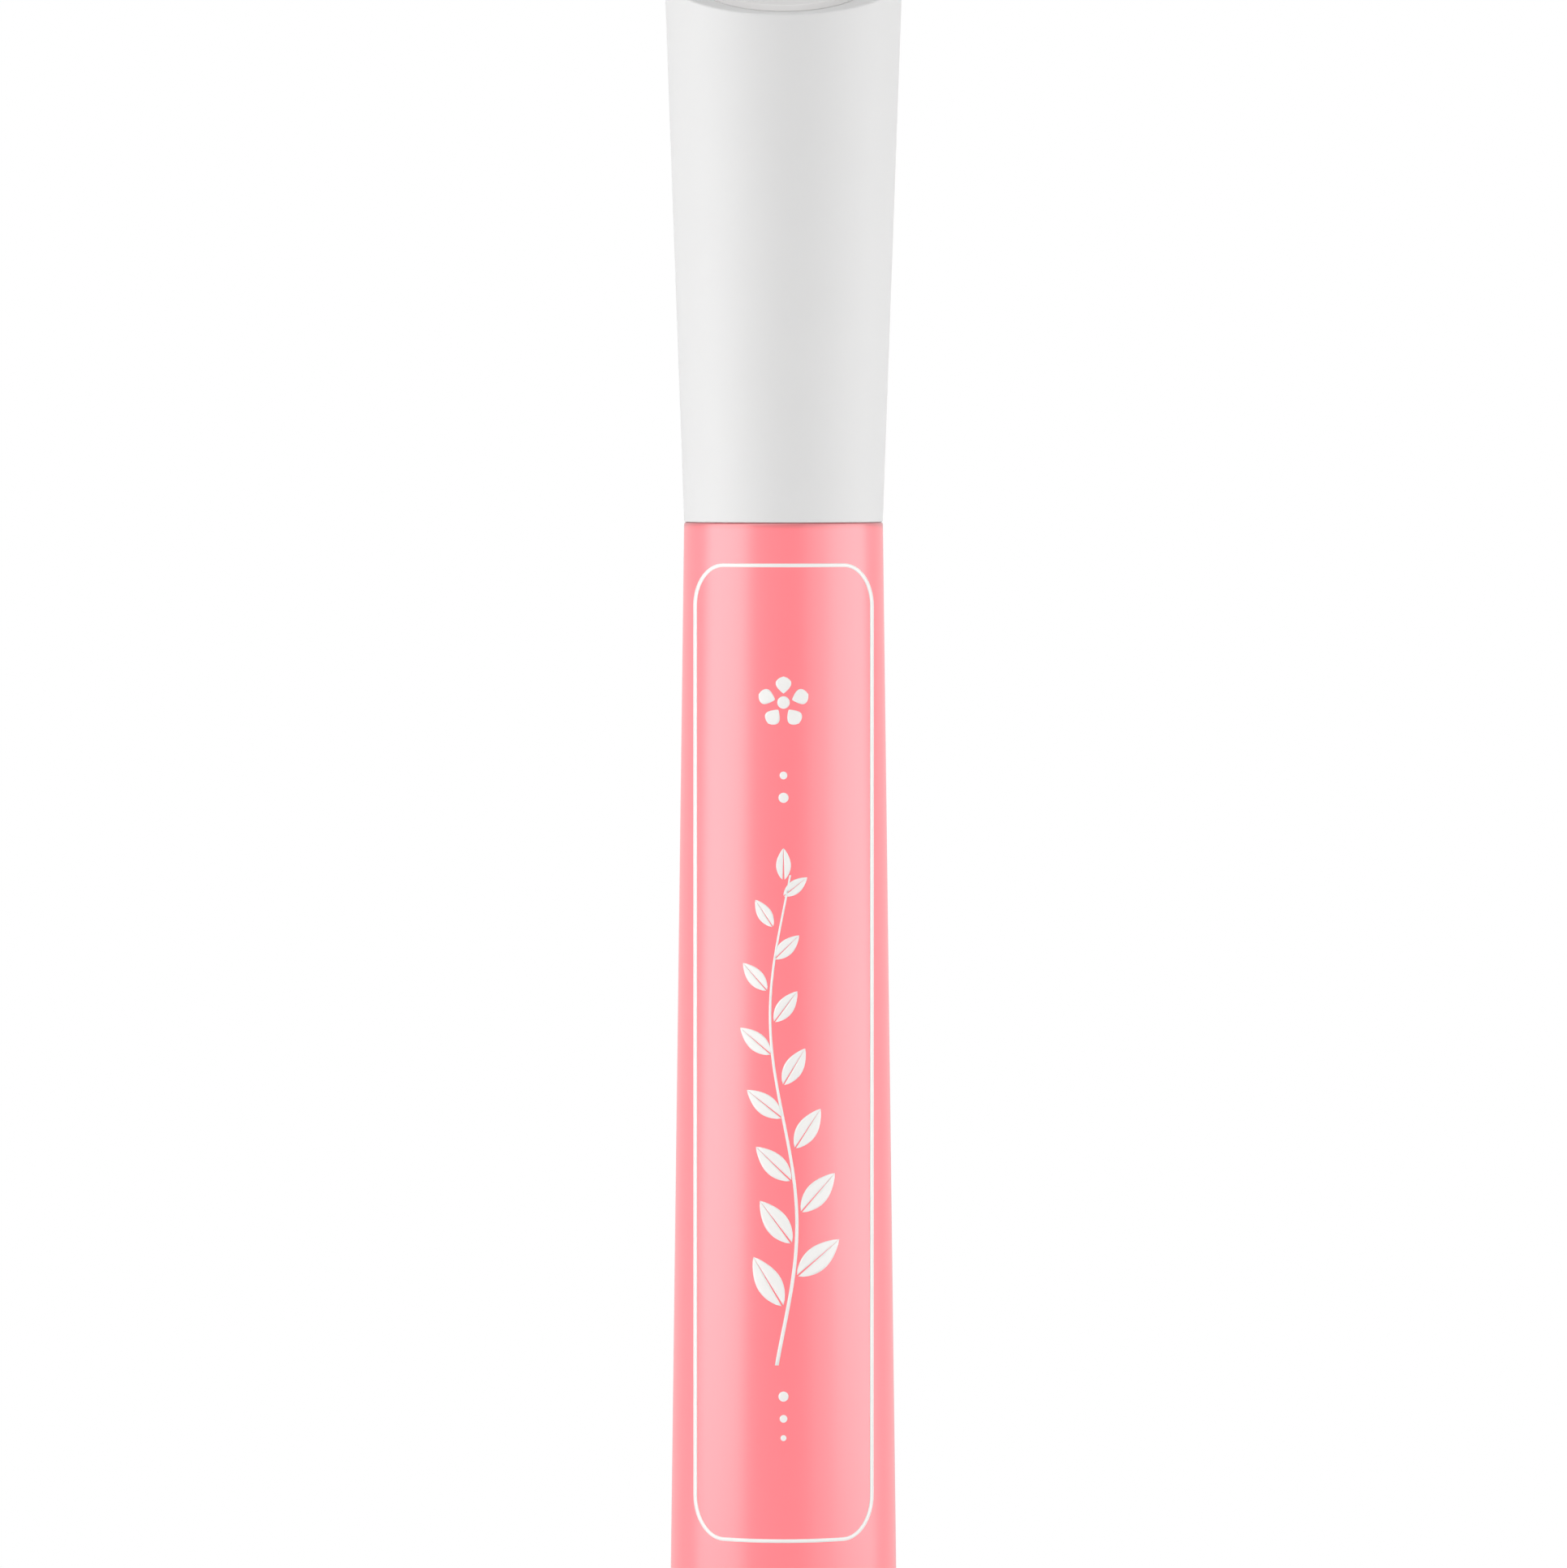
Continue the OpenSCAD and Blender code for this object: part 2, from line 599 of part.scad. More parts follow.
// Piston core: turned hub with a blind socket for the lead screw's head
module piston_core() {
    color([0.9, 0.9, 0.9]) difference() {
        union() {
            bar(piston_z, piston_top, core_d - 2 * groove_depth);
            bar(piston_z, piston_z + piston_rim, core_d);
            bar(piston_top - piston_rim, piston_top, core_d);
        }
        bar(piston_z - cut, head_z, head_neck_d + 2 * run_gap);
        bar(head_z - run_gap, head_z + head_h + run_gap, head_d + 2 * run_gap);
        // Lead-in of the socket
        translate([0, 0, piston_z - cut])
            cylinder(h = piston_rim + cut, d1 = head_d + cut + 2 * run_gap, d2 = head_neck_d + 2 * run_gap);
    }
}

// Piston seal: soft sleeve on the core, with a lip at each end that wipes the bore
module piston_seal() {
    inner = core_d / 2 - groove_depth + fit_gap;
    outer = bore_d / 2 - seal_gap;
    waist = outer - groove_depth;
    low = piston_z + piston_rim + fit_gap;
    high = piston_top - piston_rim - fit_gap;
    color([0.93, 0.91, 0.86]) rotate_extrude()
        polygon([[inner, low], [waist, low], [outer, piston_z + fit_gap], [outer, low + piston_rim],
                 [waist, low + 3 * piston_rim], [waist, high - 3 * piston_rim], [outer, high - piston_rim],
                 [outer, piston_top - fit_gap], [waist, high], [inner, high]]);
}

// Lead screw: threaded on its two round sides, with a neck and a head for the piston
module lead_screw() {
    color([0.92, 0.92, 0.9]) union() {
        thread(screw_z, housing_top, screw_d / 2, screw_d / 2 - thread_depth, screw_flats, flat_columns);
        bar(housing_top - fit_gap, head_z + fit_gap, head_neck_d);
        bar(head_z, head_z + head_h, head_d);
    }
}

// Knob shell: continues the barrel's flare down to the foot
module knob_shell() {
    color([1, 0.6, 0.62]) difference() {
        rounded_cone(0, knob_len, base_d, body_d(knob_len), foot_r, edge_r);
        bar(-cut, foot_plug_top, base_d - 2 * foot_rim);
        translate([0, 0, -cut]) cylinder(h = knob_len, d = hex_af / cos(30), $fn = 6);
        difference() {
            bar(web_top, knob_len + cut, knob_bore_d);
            // Bead that snaps into the housing's groove
            tube(knob_bead_z, knob_bead_z + bead_w, knob_bore_d + cut,
                 journal_d - 2 * groove_depth + 2 * run_gap);
        }
    }
}

// Plug that closes the foot of the knob
module foot_plug() {
    color([0.97, 0.58, 0.6]) bar(foot_recess, foot_plug_top - fit_gap, foot_plug_d);
}

// Drive sleeve: turned by the knob's hexagon, and turns the lead screw by its flats
module drive_sleeve() {
    flange_d = click_d;
    low = web_top + fit_gap;
    color([0.88, 0.9, 0.92]) difference() {
        union() {
            translate([0, 0, foot_plug_top])
                cylinder(h = knob_web + 2 * fit_gap, d = (hex_af - 2 * fit_gap) / cos(30), $fn = 6);
            bar(low, low + sleeve_flange_t, flange_d);
            bar(low, spring_z, sleeve_d);
            bar(spring_z - sleeve_flange_t, spring_z, flange_d);
            flatted_bar(spring_z - fit_gap, sleeve_top, sleeve_d, sleeve_flats);
        }
        bar(foot_plug_top - cut, sleeve_top - key_len, sleeve_bore_d);
        flatted_bar(foot_plug_top, sleeve_top + cut, screw_d + 2 * run_gap, screw_flats + 2 * run_gap);
    }
}

// Click ring: slides on the drive sleeve's flats, with teeth that meet the nut's
module click_ring() {
    color([0.85, 0.6, 0.3]) difference() {
        union() {
            bar(click_z, click_top, click_d);
            saw_ring(click_top, [[-tooth_w / 2, -fit_gap], [tooth_w / 2, -fit_gap], [tooth_w / 2, 0],
                                 [-tooth_w / 2, tooth_h]]);
        }
        flatted_bar(click_z - cut, click_top + tooth_h + cut,
                    sleeve_d + 2 * run_gap, sleeve_flats + 2 * run_gap);
    }
}

// Spring: one round wire that presses the click ring towards the nut
module click_spring() {
    rings = spring_turns * wire_steps;
    low = spring_z + wire_d / 2 + fit_gap;
    rise = spring_len - wire_d - 2 * fit_gap;
    function wire_middle(i) = [spring_r * cos(360 * i / wire_steps), spring_r * sin(360 * i / wire_steps),
                               low + rise * i / rings];
    least_gap = min([for (i = [0 : rings], j = [i + wire_steps / 2 : rings])
                         norm(wire_middle(i) - wire_middle(j))]) - wire_d;
    echo("least gap of the spring to itself", least_gap);
    points = [for (i = [0 : rings], s = [0 : wire_sides - 1])
        let (a = 360 * i / wire_steps, b = 360 * s / wire_sides, r = wire_d / 2 * cos(b))
        wire_middle(i) + [r * cos(a), r * sin(a), wire_d / 2 * sin(b)]];
    sides = [for (i = [0 : rings - 1], s = [0 : wire_sides - 1])
        let (t = (s + 1) % wire_sides, a = wire_sides * i, b = a + wire_sides)
        each [[a + s, a + t, b + t], [a + s, b + t, b + s]]];
    color([0.75, 0.77, 0.8]) polyhedron(
        points = points,
        faces = concat([[for (s = [wire_sides - 1 : -1 : 0]) s]], sides,
                       [[for (s = [0 : wire_sides - 1]) wire_sides * rings + s]]));
}

cap_shell();
cap_top_disc();
cap_liner();
barrel();
front_collar();
collar_seal();
nozzle();
brush_ring();
feed_tube();
bristle_bundle();
mechanism_housing();
knob_drag_ring();
screw_nut();
piston_core();
piston_seal();
lead_screw();
knob_shell();
foot_plug();
drive_sleeve();
click_ring();
click_spring();
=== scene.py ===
"""Looks of the nail oil pen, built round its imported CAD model.

The turned outer pieces are made again from the CAD nodes' own sections, with finer sides and
rounded edges. The cap's sleeve and disc, the print on the barrel and the brush are built from
named sizes. The mechanism inside keeps its CAD nodes and gets its materials here.
"""

from math import cos, hypot, pi, radians, sin, sqrt, tan

import bmesh
import bpy
import numpy as np
from mathutils import Matrix, Vector


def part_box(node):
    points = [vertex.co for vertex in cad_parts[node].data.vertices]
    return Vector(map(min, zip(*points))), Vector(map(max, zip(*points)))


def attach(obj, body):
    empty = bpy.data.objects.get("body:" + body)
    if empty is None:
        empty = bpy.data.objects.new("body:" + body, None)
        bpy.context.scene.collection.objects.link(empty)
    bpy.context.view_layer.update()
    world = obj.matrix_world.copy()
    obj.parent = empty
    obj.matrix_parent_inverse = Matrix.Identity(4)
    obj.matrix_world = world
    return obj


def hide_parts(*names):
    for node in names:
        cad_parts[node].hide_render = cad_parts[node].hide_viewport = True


bl_info = {
    "name": "Nail oil pen",
    "version": (1, 0, 0),
    "blender": (4, 5, 0),
    "location": "View3D > Sidebar > Pen",
    "description": "Builds the finished surfaces, the print, the brush and the stage of a nail oil pen",
    "category": "Object",
}

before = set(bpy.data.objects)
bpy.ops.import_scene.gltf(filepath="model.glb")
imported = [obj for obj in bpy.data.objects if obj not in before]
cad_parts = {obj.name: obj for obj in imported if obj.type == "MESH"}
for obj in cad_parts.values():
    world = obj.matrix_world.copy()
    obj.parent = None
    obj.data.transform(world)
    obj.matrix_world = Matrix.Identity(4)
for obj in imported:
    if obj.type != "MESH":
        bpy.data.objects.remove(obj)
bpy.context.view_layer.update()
MM = 0.001

# How far beside the seams of its faces a node is cut, in radians
CUT_TURN = 0.0007
# Points this near are one, and a corner this low over its neighbours' line is none, in metres
SAME_POINT, STRAIGHT = 2e-6, 5e-7
# How many steps a bend has, and the largest share of a run that it takes up
BEND_STEPS, BEND_SHARE = 5, 0.45
# The usual pieces of a turned outline and of the cap's, and the short piece beside a bend
TURNED_PIECE, CAP_PIECE, END_PIECE = 0.6 * MM, 0.8 * MM, 0.1 * MM
# Turns of an outline over which a corner is sharp, or is one of a soft bend's, in radians
SHARP, SOFT = 0.6, 0.03


# What the CAD model gives


def section(node):
    """Outlines of a turned CAD node, cut just beside the seams of its faces: closed loops of
    (radius, height) points, or one open line from axis to axis where the node has no bore."""
    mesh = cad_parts[node].data
    mesh.calc_loop_triangles()
    points = np.empty(len(mesh.vertices) * 3, np.float32)
    mesh.vertices.foreach_get("co", points)
    corners = np.empty(len(mesh.loop_triangles) * 3, np.int32)
    mesh.loop_triangles.foreach_get("vertices", corners)
    points, merged = np.unique(np.round(points.reshape(-1, 3), 8), axis=0, return_inverse=True)
    corners = merged.reshape(-1)[corners].reshape(-1, 3)
    along = points @ (cos(CUT_TURN), sin(CUT_TURN), 0)
    across = points @ (-sin(CUT_TURN), cos(CUT_TURN), 0)
    joined, places = {}, {}
    for corner in corners:
        cuts = []
        for a, b in ((0, 1), (1, 2), (2, 0)):
            a, b = sorted((int(corner[a]), int(corner[b])))
            if (across[a] > 0) != (across[b] > 0):
                t = across[a] / (across[a] - across[b])
                height = points[a][2] + (points[b][2] - points[a][2]) * t
                places[a, b] = (along[a] + (along[b] - along[a]) * t, height)
                cuts.append((a, b))
        if len(cuts) == 2:
            joined.setdefault(cuts[0], []).append(cuts[1])
            joined.setdefault(cuts[1], []).append(cuts[0])
    loops = []
    while joined:
        edge = next(iter(joined))
        loop = []
        while edge is not None:
            loop.append(places[edge])
            nexts = [e for e in joined.pop(edge) if e in joined]
            edge = nexts[0] if nexts else None
        if max(r for r, z in loop) > 0:
            loops.append(plain_outline(loop))
    return loops


def plain_outline(loop):
    """The corners of a closed outline, without the points that lie on its straight runs. An
    outline that crosses the axis becomes the open line of its outer half."""
    places = [Vector(p) for p in loop]
    spaced = [p for i, p in enumerate(places) if (p - places[i - 1]).length > SAME_POINT]
    kept = []
    for i, p in enumerate(spaced):
        before, after = spaced[i - 1], spaced[(i + 1) % len(spaced)]
        if abs((p - before).cross((after - before).normalized())) > STRAIGHT:
            kept.append((p.x, p.y))
    if min(r for r, z in kept) > -SAME_POINT:
        return kept
    first = next(i for i in range(len(kept)) if kept[i - 1][0] < 0 <= kept[i][0])
    half = [p for p in kept[first:] + kept[:first] if p[0] > 0]
    return [(0, half[0][1])] + half + [(0, half[-1][1])]


def outer_radius(node):
    """Largest radius of a node that is round about the pen's axis."""
    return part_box(node)[1].x


def flank(node):
    """Slope and radius at height zero of the long straight flank of a turned node."""
    loop = max(section(node), key=lambda points: max(r for r, z in points))
    runs = [(loop[i - 1], loop[i]) for i in range(len(loop))]
    middle = sum(r for r, z in loop) / len(loop)
    outside = [run for run in runs if min(run[0][0], run[1][0]) > middle]
    (r0, z0), (r1, z1) = max(outside, key=lambda run: abs(run[1][1] - run[0][1]))
    slope = (r1 - r0) / (z1 - z0)
    return slope, r0 - slope * z0


# Meshes


def placed(name, data):
    """A new object in the scene."""
    item = bpy.data.objects.new(name, data)
    bpy.context.scene.collection.objects.link(item)
    return item


def shares(steps):
    """The shares from 0 to 1 in that many steps."""
    return [i / steps for i in range(steps + 1)]


def rounded(corners, closed, piece, lengths=None):
    """Points along a line of corners, which are (point, radius of rounding), about a piece apart.
    lengths, one for each run, stand in for the runs' own in how many points they get."""
    count = len(corners)
    arcs = []
    for i, (corner, radius) in enumerate(corners):
        if radius == 0 or not closed and i in (0, count - 1):
            arcs.append([corner])
            continue
        before, after = corners[i - 1][0] - corner, corners[(i + 1) % count][0] - corner
        turn = pi - before.angle(after)
        reach = min(radius * tan(turn / 2), BEND_SHARE * before.length, BEND_SHARE * after.length)
        start, end = corner + before.normalized() * reach, corner + after.normalized() * reach
        # A smooth bend that leaves and meets the two runs along their lines
        arcs.append([start.lerp(corner, t).lerp(corner.lerp(end, t), t) for t in shares(BEND_STEPS)])
    points = []
    for i, arc in enumerate(arcs):
        points.extend(arc)
        if not closed and i == count - 1:
            break
        start, end = arc[-1], arcs[(i + 1) % count][0]
        nominal = lengths[i] if lengths else (corners[(i + 1) % count][0] - corners[i][0]).length
        steps = max(1, round(nominal / piece))
        # The run's two end pieces are short, so that the shading of a bend stays beside it
        edge = min(0.25, END_PIECE / max(nominal, SAME_POINT))
        inner = [edge + (1 - 2 * edge) * k / steps for k in range(1, steps)]
        points.extend(start.lerp(end, t) for t in (edge, *inner, 1 - edge))
    return points


def rounded_columns(columns, piece):
    """Closed lines of corners as lines of points that all have the same number of points."""
    count = len(columns[0])
    lengths = [max((c[(k + 1) % count][0] - c[k][0]).length for c in columns) for k in range(count)]
    return [rounded(corners, True, piece, lengths) for corners in columns]


def grid_mesh(name, columns, closed):
    """A closed piece from columns of points round an axis. Columns are closed loops, or run from
    pole to pole, where their first and last points are all the same."""
    mesh = bpy.data.meshes.new(name)
    bm = bmesh.new()
    rows = len(columns[0])
    verts = [[bm.verts.new(p) for p in column] for column in columns]
    for i, column in enumerate(verts):
        following = verts[(i + 1) % len(verts)]
        for k in range(rows if closed else rows - 1):
            n = (k + 1) % rows
            bm.faces.new((column[k], following[k], following[n], column[n]))
    bmesh.ops.remove_doubles(bm, verts=bm.verts, dist=1e-8)
    bmesh.ops.dissolve_degenerate(bm, edges=bm.edges, dist=1e-9)
    bmesh.ops.recalc_face_normals(bm, faces=bm.faces)
    for face in bm.faces:
        face.smooth = True
    bm.to_mesh(mesh)
    bm.free()
    return placed(name, mesh)


def turned(name, outline, sides, place=None, bore=None):
    """A piece turned about the pen's axis from an outline of ((radius, height), rounding)
    corners. The outline is open if it starts on the axis. place moves the piece to its seat,
    and bore(radius, angle) gives the radius where the bore isn't round."""
    closed = outline[0][0][0] > 0
    profile = rounded([(Vector((r, z)), bend) for (r, z), bend in outline], closed, TURNED_PIECE)
    columns = []
    for i in range(sides):
        a = 2 * pi * i / sides
        radii = [p.x if bore is None else bore(p.x, a) for p in profile]
        columns.append([Vector((r * cos(a), r * sin(a), p.y)) for r, p in zip(radii, profile)])
    if place is not None:
        columns = [[place @ p for p in column] for column in columns]
    return grid_mesh(name, columns, closed)


def hexagon(corner, reach):
    """Rule for a hexagonal bore with that radius to its corners. reach is how far the ring
    round the bore takes to become round."""
    def radius(r, a):
        side = cos(pi / 6) / cos(a % (pi / 3) - pi / 6)
        share = min(1, max(0, (corner + reach - r) / reach))
        return r * (1 + share * (side - 1))
    return radius


def turned_again(name, node, sides, bend, bore=None, rise=0):
    """A turned CAD node made again from its own section. Sharp corners get a small rounding,
    and the short chords of the section's own roundings become one smooth bend. rise lengthens
    the piece at its top."""
    rim, soft_bend = 0.3 * MM, 2 * MM
    outline = []
    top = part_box(node)[1].z
    loop = [(r, z + rise if z > top - rim else z) for r, z in section(node)[0]]
    for i, (r, z) in enumerate(loop):
        here = Vector((r, z))
        turn = (here - Vector(loop[i - 1])).angle(Vector(loop[(i + 1) % len(loop)]) - here)
        outline.append(((r, z), bend if turn > SHARP else soft_bend if turn > SOFT else 0))
    return turned(name, outline, sides, bore=bore)


def flat_sheet(name, strips, start=None):
    """A flat mesh in the XZ plane with its faces towards -Y. A strip is (pairs of (x, z) points
    on its two edges, faces across, whether it closes to a loop). The strips are added to the
    mesh of start, an object that this uses up."""
    bm = bmesh.new()
    if start is not None:
        bm.from_mesh(start.data)
        bpy.data.objects.remove(start)
    for pairs, across, closed in strips:
        rows = []
        for pair in pairs:
            left, right = (Vector((x, 0, z)) for x, z in pair)
            rows.append([bm.verts.new(left.lerp(right, k / across)) for k in range(across + 1)])
        for row, following in zip(rows, rows[1:] + rows[:1] if closed else rows[1:]):
            for k in range(across):
                bm.faces.new((row[k], row[k + 1], following[k + 1], following[k]))
    bmesh.ops.remove_doubles(bm, verts=bm.verts, dist=1e-7)
    bmesh.ops.dissolve_degenerate(bm, edges=bm.edges, dist=1e-8)
    for face in bm.faces:
        face.normal_update()
        if face.normal.y > 0:
            face.normal_flip()
    mesh = bpy.data.meshes.new(name)
    bm.to_mesh(mesh)
    bm.free()
    return mesh


# Node trees


class Value:
    """A number in a node tree. Sums and products of it add Math nodes, so that a rule of
    several nodes reads as a formula."""

    def __init__(self, tree, socket):
        self.tree, self.socket = tree, socket

    def __add__(self, other):
        return maths(self.tree, "ADD", self, other)

    def __sub__(self, other):
        return maths(self.tree, "SUBTRACT", self, other)

    def __rsub__(self, other):
        return maths(self.tree, "SUBTRACT", other, self)

    def __mul__(self, other):
        return maths(self.tree, "MULTIPLY", self, other)

    def __truediv__(self, other):
        return maths(self.tree, "DIVIDE", self, other)

    __radd__ = __add__
    __rmul__ = __mul__


def number(tree, kind, inputs=None, output=0, **settings):
    """A new node's output as a Value."""
    return Value(tree, add_node(tree, kind, inputs, **settings).outputs[output])


def maths(tree, operation, *terms):
    """A Math node as a Value. The terms are Values or numbers."""
    return number(tree, "ShaderNodeMath", dict(enumerate(terms)), operation=operation)


def add_node(tree, kind, inputs=None, **settings):
    """A node with its settings made, and its inputs linked or given their values."""
    node = tree.nodes.new(kind)
    for key, value in settings.items():
        setattr(node, key, value)
    for key, value in (inputs or {}).items():
        if isinstance(value, Value):
            value = value.socket
        if isinstance(value, bpy.types.Node):
            value = value.outputs[0]
        if isinstance(value, bpy.types.NodeSocket):
            tree.links.new(value, node.inputs[key])
        else:
            node.inputs[key].default_value = value
    return node


def mixed(a, b, share):
    """The Value at a share of the way from a to b."""
    return a + (b - a) * share


def blended(tree, share, a, b):
    """A colour at a share of the way from colour a to colour b."""
    a, b = ((*c, 1.0) if isinstance(c, tuple) else c for c in (a, b))
    return add_node(tree, "ShaderNodeMix", {0: share, 6: a, 7: b}, data_type="RGBA").outputs[2]


def eased(tree, value, low, high):
    """0 under low and 1 over high, with a smooth step between them."""
    inputs = {"Value": value, "From Min": low, "From Max": high}
    return number(tree, "ShaderNodeMapRange", inputs, interpolation_type="SMOOTHSTEP")


def split(tree, vector):
    """X, Y and Z of a vector as Values."""
    apart = add_node(tree, "ShaderNodeSeparateXYZ", {0: vector})
    return [Value(tree, apart.outputs[i]) for i in range(3)]


def geometry_tree(name, inputs):
    """A Geometry Nodes tree with named inputs: the tree, its input node, and its inputs as
    Values by name. An input's default says what kind it is."""
    kinds = {float: "NodeSocketFloat", int: "NodeSocketInt", type(None): "NodeSocketMaterial"}
    tree = bpy.data.node_groups.new(name, "GeometryNodeTree")
    tree.interface.new_socket("Geometry", in_out="INPUT", socket_type="NodeSocketGeometry")
    tree.interface.new_socket("Geometry", in_out="OUTPUT", socket_type="NodeSocketGeometry")
    for label, default in inputs.items():
        socket = tree.interface.new_socket(label, in_out="INPUT", socket_type=kinds[type(default)])
        if default is not None:
            socket.default_value = default
    entry = tree.nodes.new("NodeGroupInput")
    return tree, entry, {label: Value(tree, entry.outputs[label]) for label in inputs}


def end_tree(tree, geometry, material):
    """Ends a geometry tree with Realize Instances and Set Material, and returns it."""
    smooth = add_node(tree, "GeometryNodeSetShadeSmooth", {"Geometry": geometry})
    real = add_node(tree, "GeometryNodeRealizeInstances", {"Geometry": smooth})
    painted = add_node(tree, "GeometryNodeSetMaterial", {"Geometry": real, "Material": material})
    leave = tree.nodes.new("NodeGroupOutput")
    tree.links.new(painted.outputs[0], leave.inputs[0])
    return tree


def grown(name, tree, mesh, **values):
    """A plain mesh object that a geometry tree makes from a mesh. Underscores in the names of
    the values stand for the spaces in the names of the tree's inputs."""
    seed = placed(name + "_seed", mesh)
    modifier = seed.modifiers.new("nodes", "NODES")
    modifier.node_group = tree
    for socket in tree.interface.items_tree:
        key = socket.name.replace(" ", "_")
        if key in values:
            modifier[socket.identifier] = values[key]
    graph = bpy.context.evaluated_depsgraph_get()
    result = bpy.data.meshes.new_from_object(seed.evaluated_get(graph))
    seed.modifiers.remove(modifier)
    bpy.data.objects.remove(seed)
    return placed(name, result)


def brush_tree():
    """Bristles on the spiral of a sunflower's seeds. They swell to a belly and close to a tip."""
    tree, _, get = geometry_tree("brush", {
        "Count": 1, "Inner Radius": 0.0, "Outer Radius": 0.0, "Root Level": 0.0, "Ring Level": 0.0,
        "Length": 0.0, "Bristle Radius": 0.0, "Belly Share": 0.35, "Belly Width": 1.12,
        "Closing Start": 0.6, "Tip Width": 0.42, "Tip Hollow": 0.2 * MM, "Taper Start": 0.55,
        "Tip Thickness": 0.35, "Outer Short": 0.35, "Unevenness": 0.02, "Twist": 0.12, "Seed": 7,
        "Material": None})
    golden_angle = pi * (3 - sqrt(5))
    index = number(tree, "GeometryNodeInputIndex")
    stored = add_node(tree, "GeometryNodePoints", {"Count": get["Count"]})
    kept = {"place": (index + 0.5) / get["Count"], "turn": index * golden_angle}
    for seed_step, label in enumerate(("lean", "cut", "tone")):
        span = {2: -1.0, 3: 1.0, "ID": index, "Seed": get["Seed"] + seed_step}
        kept[label] = number(tree, "FunctionNodeRandomValue", span, 1)
    for label, value in kept.items():
        inputs = {"Geometry": stored, "Name": label, "Value": value}
        stored = add_node(tree, "GeometryNodeStoreNamedAttribute", inputs)
    strand = add_node(tree, "GeometryNodeMeshCylinder", {
        "Vertices": 6, "Side Segments": 10, "Radius": 1.0, "Depth": 1.0})
    copies = add_node(tree, "GeometryNodeInstanceOnPoints", {"Points": stored, "Instance": strand})
    loose = add_node(tree, "GeometryNodeRealizeInstances", {"Geometry": copies})
    place, turn, lean, cut = (number(tree, "GeometryNodeInputNamedAttribute", {"Name": label})
                              for label in ("place", "turn", "lean", "cut"))
    x, y, along = split(tree, add_node(tree, "GeometryNodeInputPosition"))
    along = along + 0.5
    inner, outer = get["Inner Radius"], get["Outer Radius"]
    root = maths(tree, "SQRT", mixed(inner * inner, outer * outer, place))
    shorter = get["Outer Short"] * place + get["Unevenness"] * (1 - cut)
    tip = get["Ring Level"] + get["Length"] * (1 - shorter)
    level = mixed(get["Root Level"], tip, along)
    height = (level - get["Ring Level"]) / get["Length"]
    belly = root * mixed(1, get["Belly Width"], eased(tree, height, 0.0, get["Belly Share"]))
    end = get["Tip Hollow"] + (root - inner) * get["Tip Width"]
    closing = eased(tree, height, get["Belly Share"] * get["Closing Start"], 1.0)
    reach = mixed(belly, end, closing) * (1 + lean * get["Unevenness"] * closing)
    taper = eased(tree, along, get["Taper Start"], 1.0)
    thick = get["Bristle Radius"] * mixed(1, get["Tip Thickness"], taper)
    turn = turn + lean * closing * get["Twist"]
    position = add_node(tree, "ShaderNodeCombineXYZ", {
        0: reach * maths(tree, "COSINE", turn) + thick * x,
        1: reach * maths(tree, "SINE", turn) + thick * y, 2: level})
    bent = add_node(tree, "GeometryNodeSetPosition", {"Geometry": loose, "Position": position})
    return end_tree(tree, bent, get["Material"])


def scattered(tree, entry, get, place, turn, size=(1.0, 1.0, 1.0)):
    """Ends a tree with Count copies of its input in the XZ plane, whose place, turn and size
    follow from their index."""
    points = add_node(tree, "GeometryNodePoints", {"Count": get["Count"]})
    place = add_node(tree, "ShaderNodeCombineXYZ", place)
    turn = add_node(tree, "ShaderNodeCombineXYZ", {1: turn})
    moved = add_node(tree, "GeometryNodeSetPosition", {"Geometry": points, "Position": place})
    copies = add_node(tree, "GeometryNodeInstanceOnPoints", {
        "Points": moved, "Instance": entry.outputs["Geometry"], "Rotation": turn, "Scale": size})
    return end_tree(tree, copies, get["Material"])


def leaf_tree():
    """Copies of a flat leaf along a curved stem, by turns to the left and to the right."""
    tree, entry, get = geometry_tree("leaves", {
        "Count": 1, "Start": 0.0, "Length": 1.0, "Bend": 0.0, "Spread": 0.72, "Tip Scale": 0.5,
        "Material": None})
    index = number(tree, "GeometryNodeInputIndex")
    along = (index + 0.5) / get["Count"]
    around = along * (2 * pi)
    place = {0: get["Bend"] * maths(tree, "SINE", around), 2: get["Start"] + get["Length"] * along}
    slope = get["Bend"] / get["Length"] * (2 * pi) * maths(tree, "COSINE", around)
    side = maths(tree, "MODULO", index, 2.0) * 2 - 1
    turn = side * get["Spread"] + maths(tree, "ARCTANGENT", slope)
    return scattered(tree, entry, get, place, turn, mixed(1.0, get["Tip Scale"], along))


def ring_tree():
    """Copies of a flat petal round a point of the XZ plane."""
    tree, entry, get = geometry_tree("petals", {"Count": 1, "Level": 0.0, "Material": None})
    turn = number(tree, "GeometryNodeInputIndex") / get["Count"] * (2 * pi)
    return scattered(tree, entry, get, {2: get["Level"]}, turn)


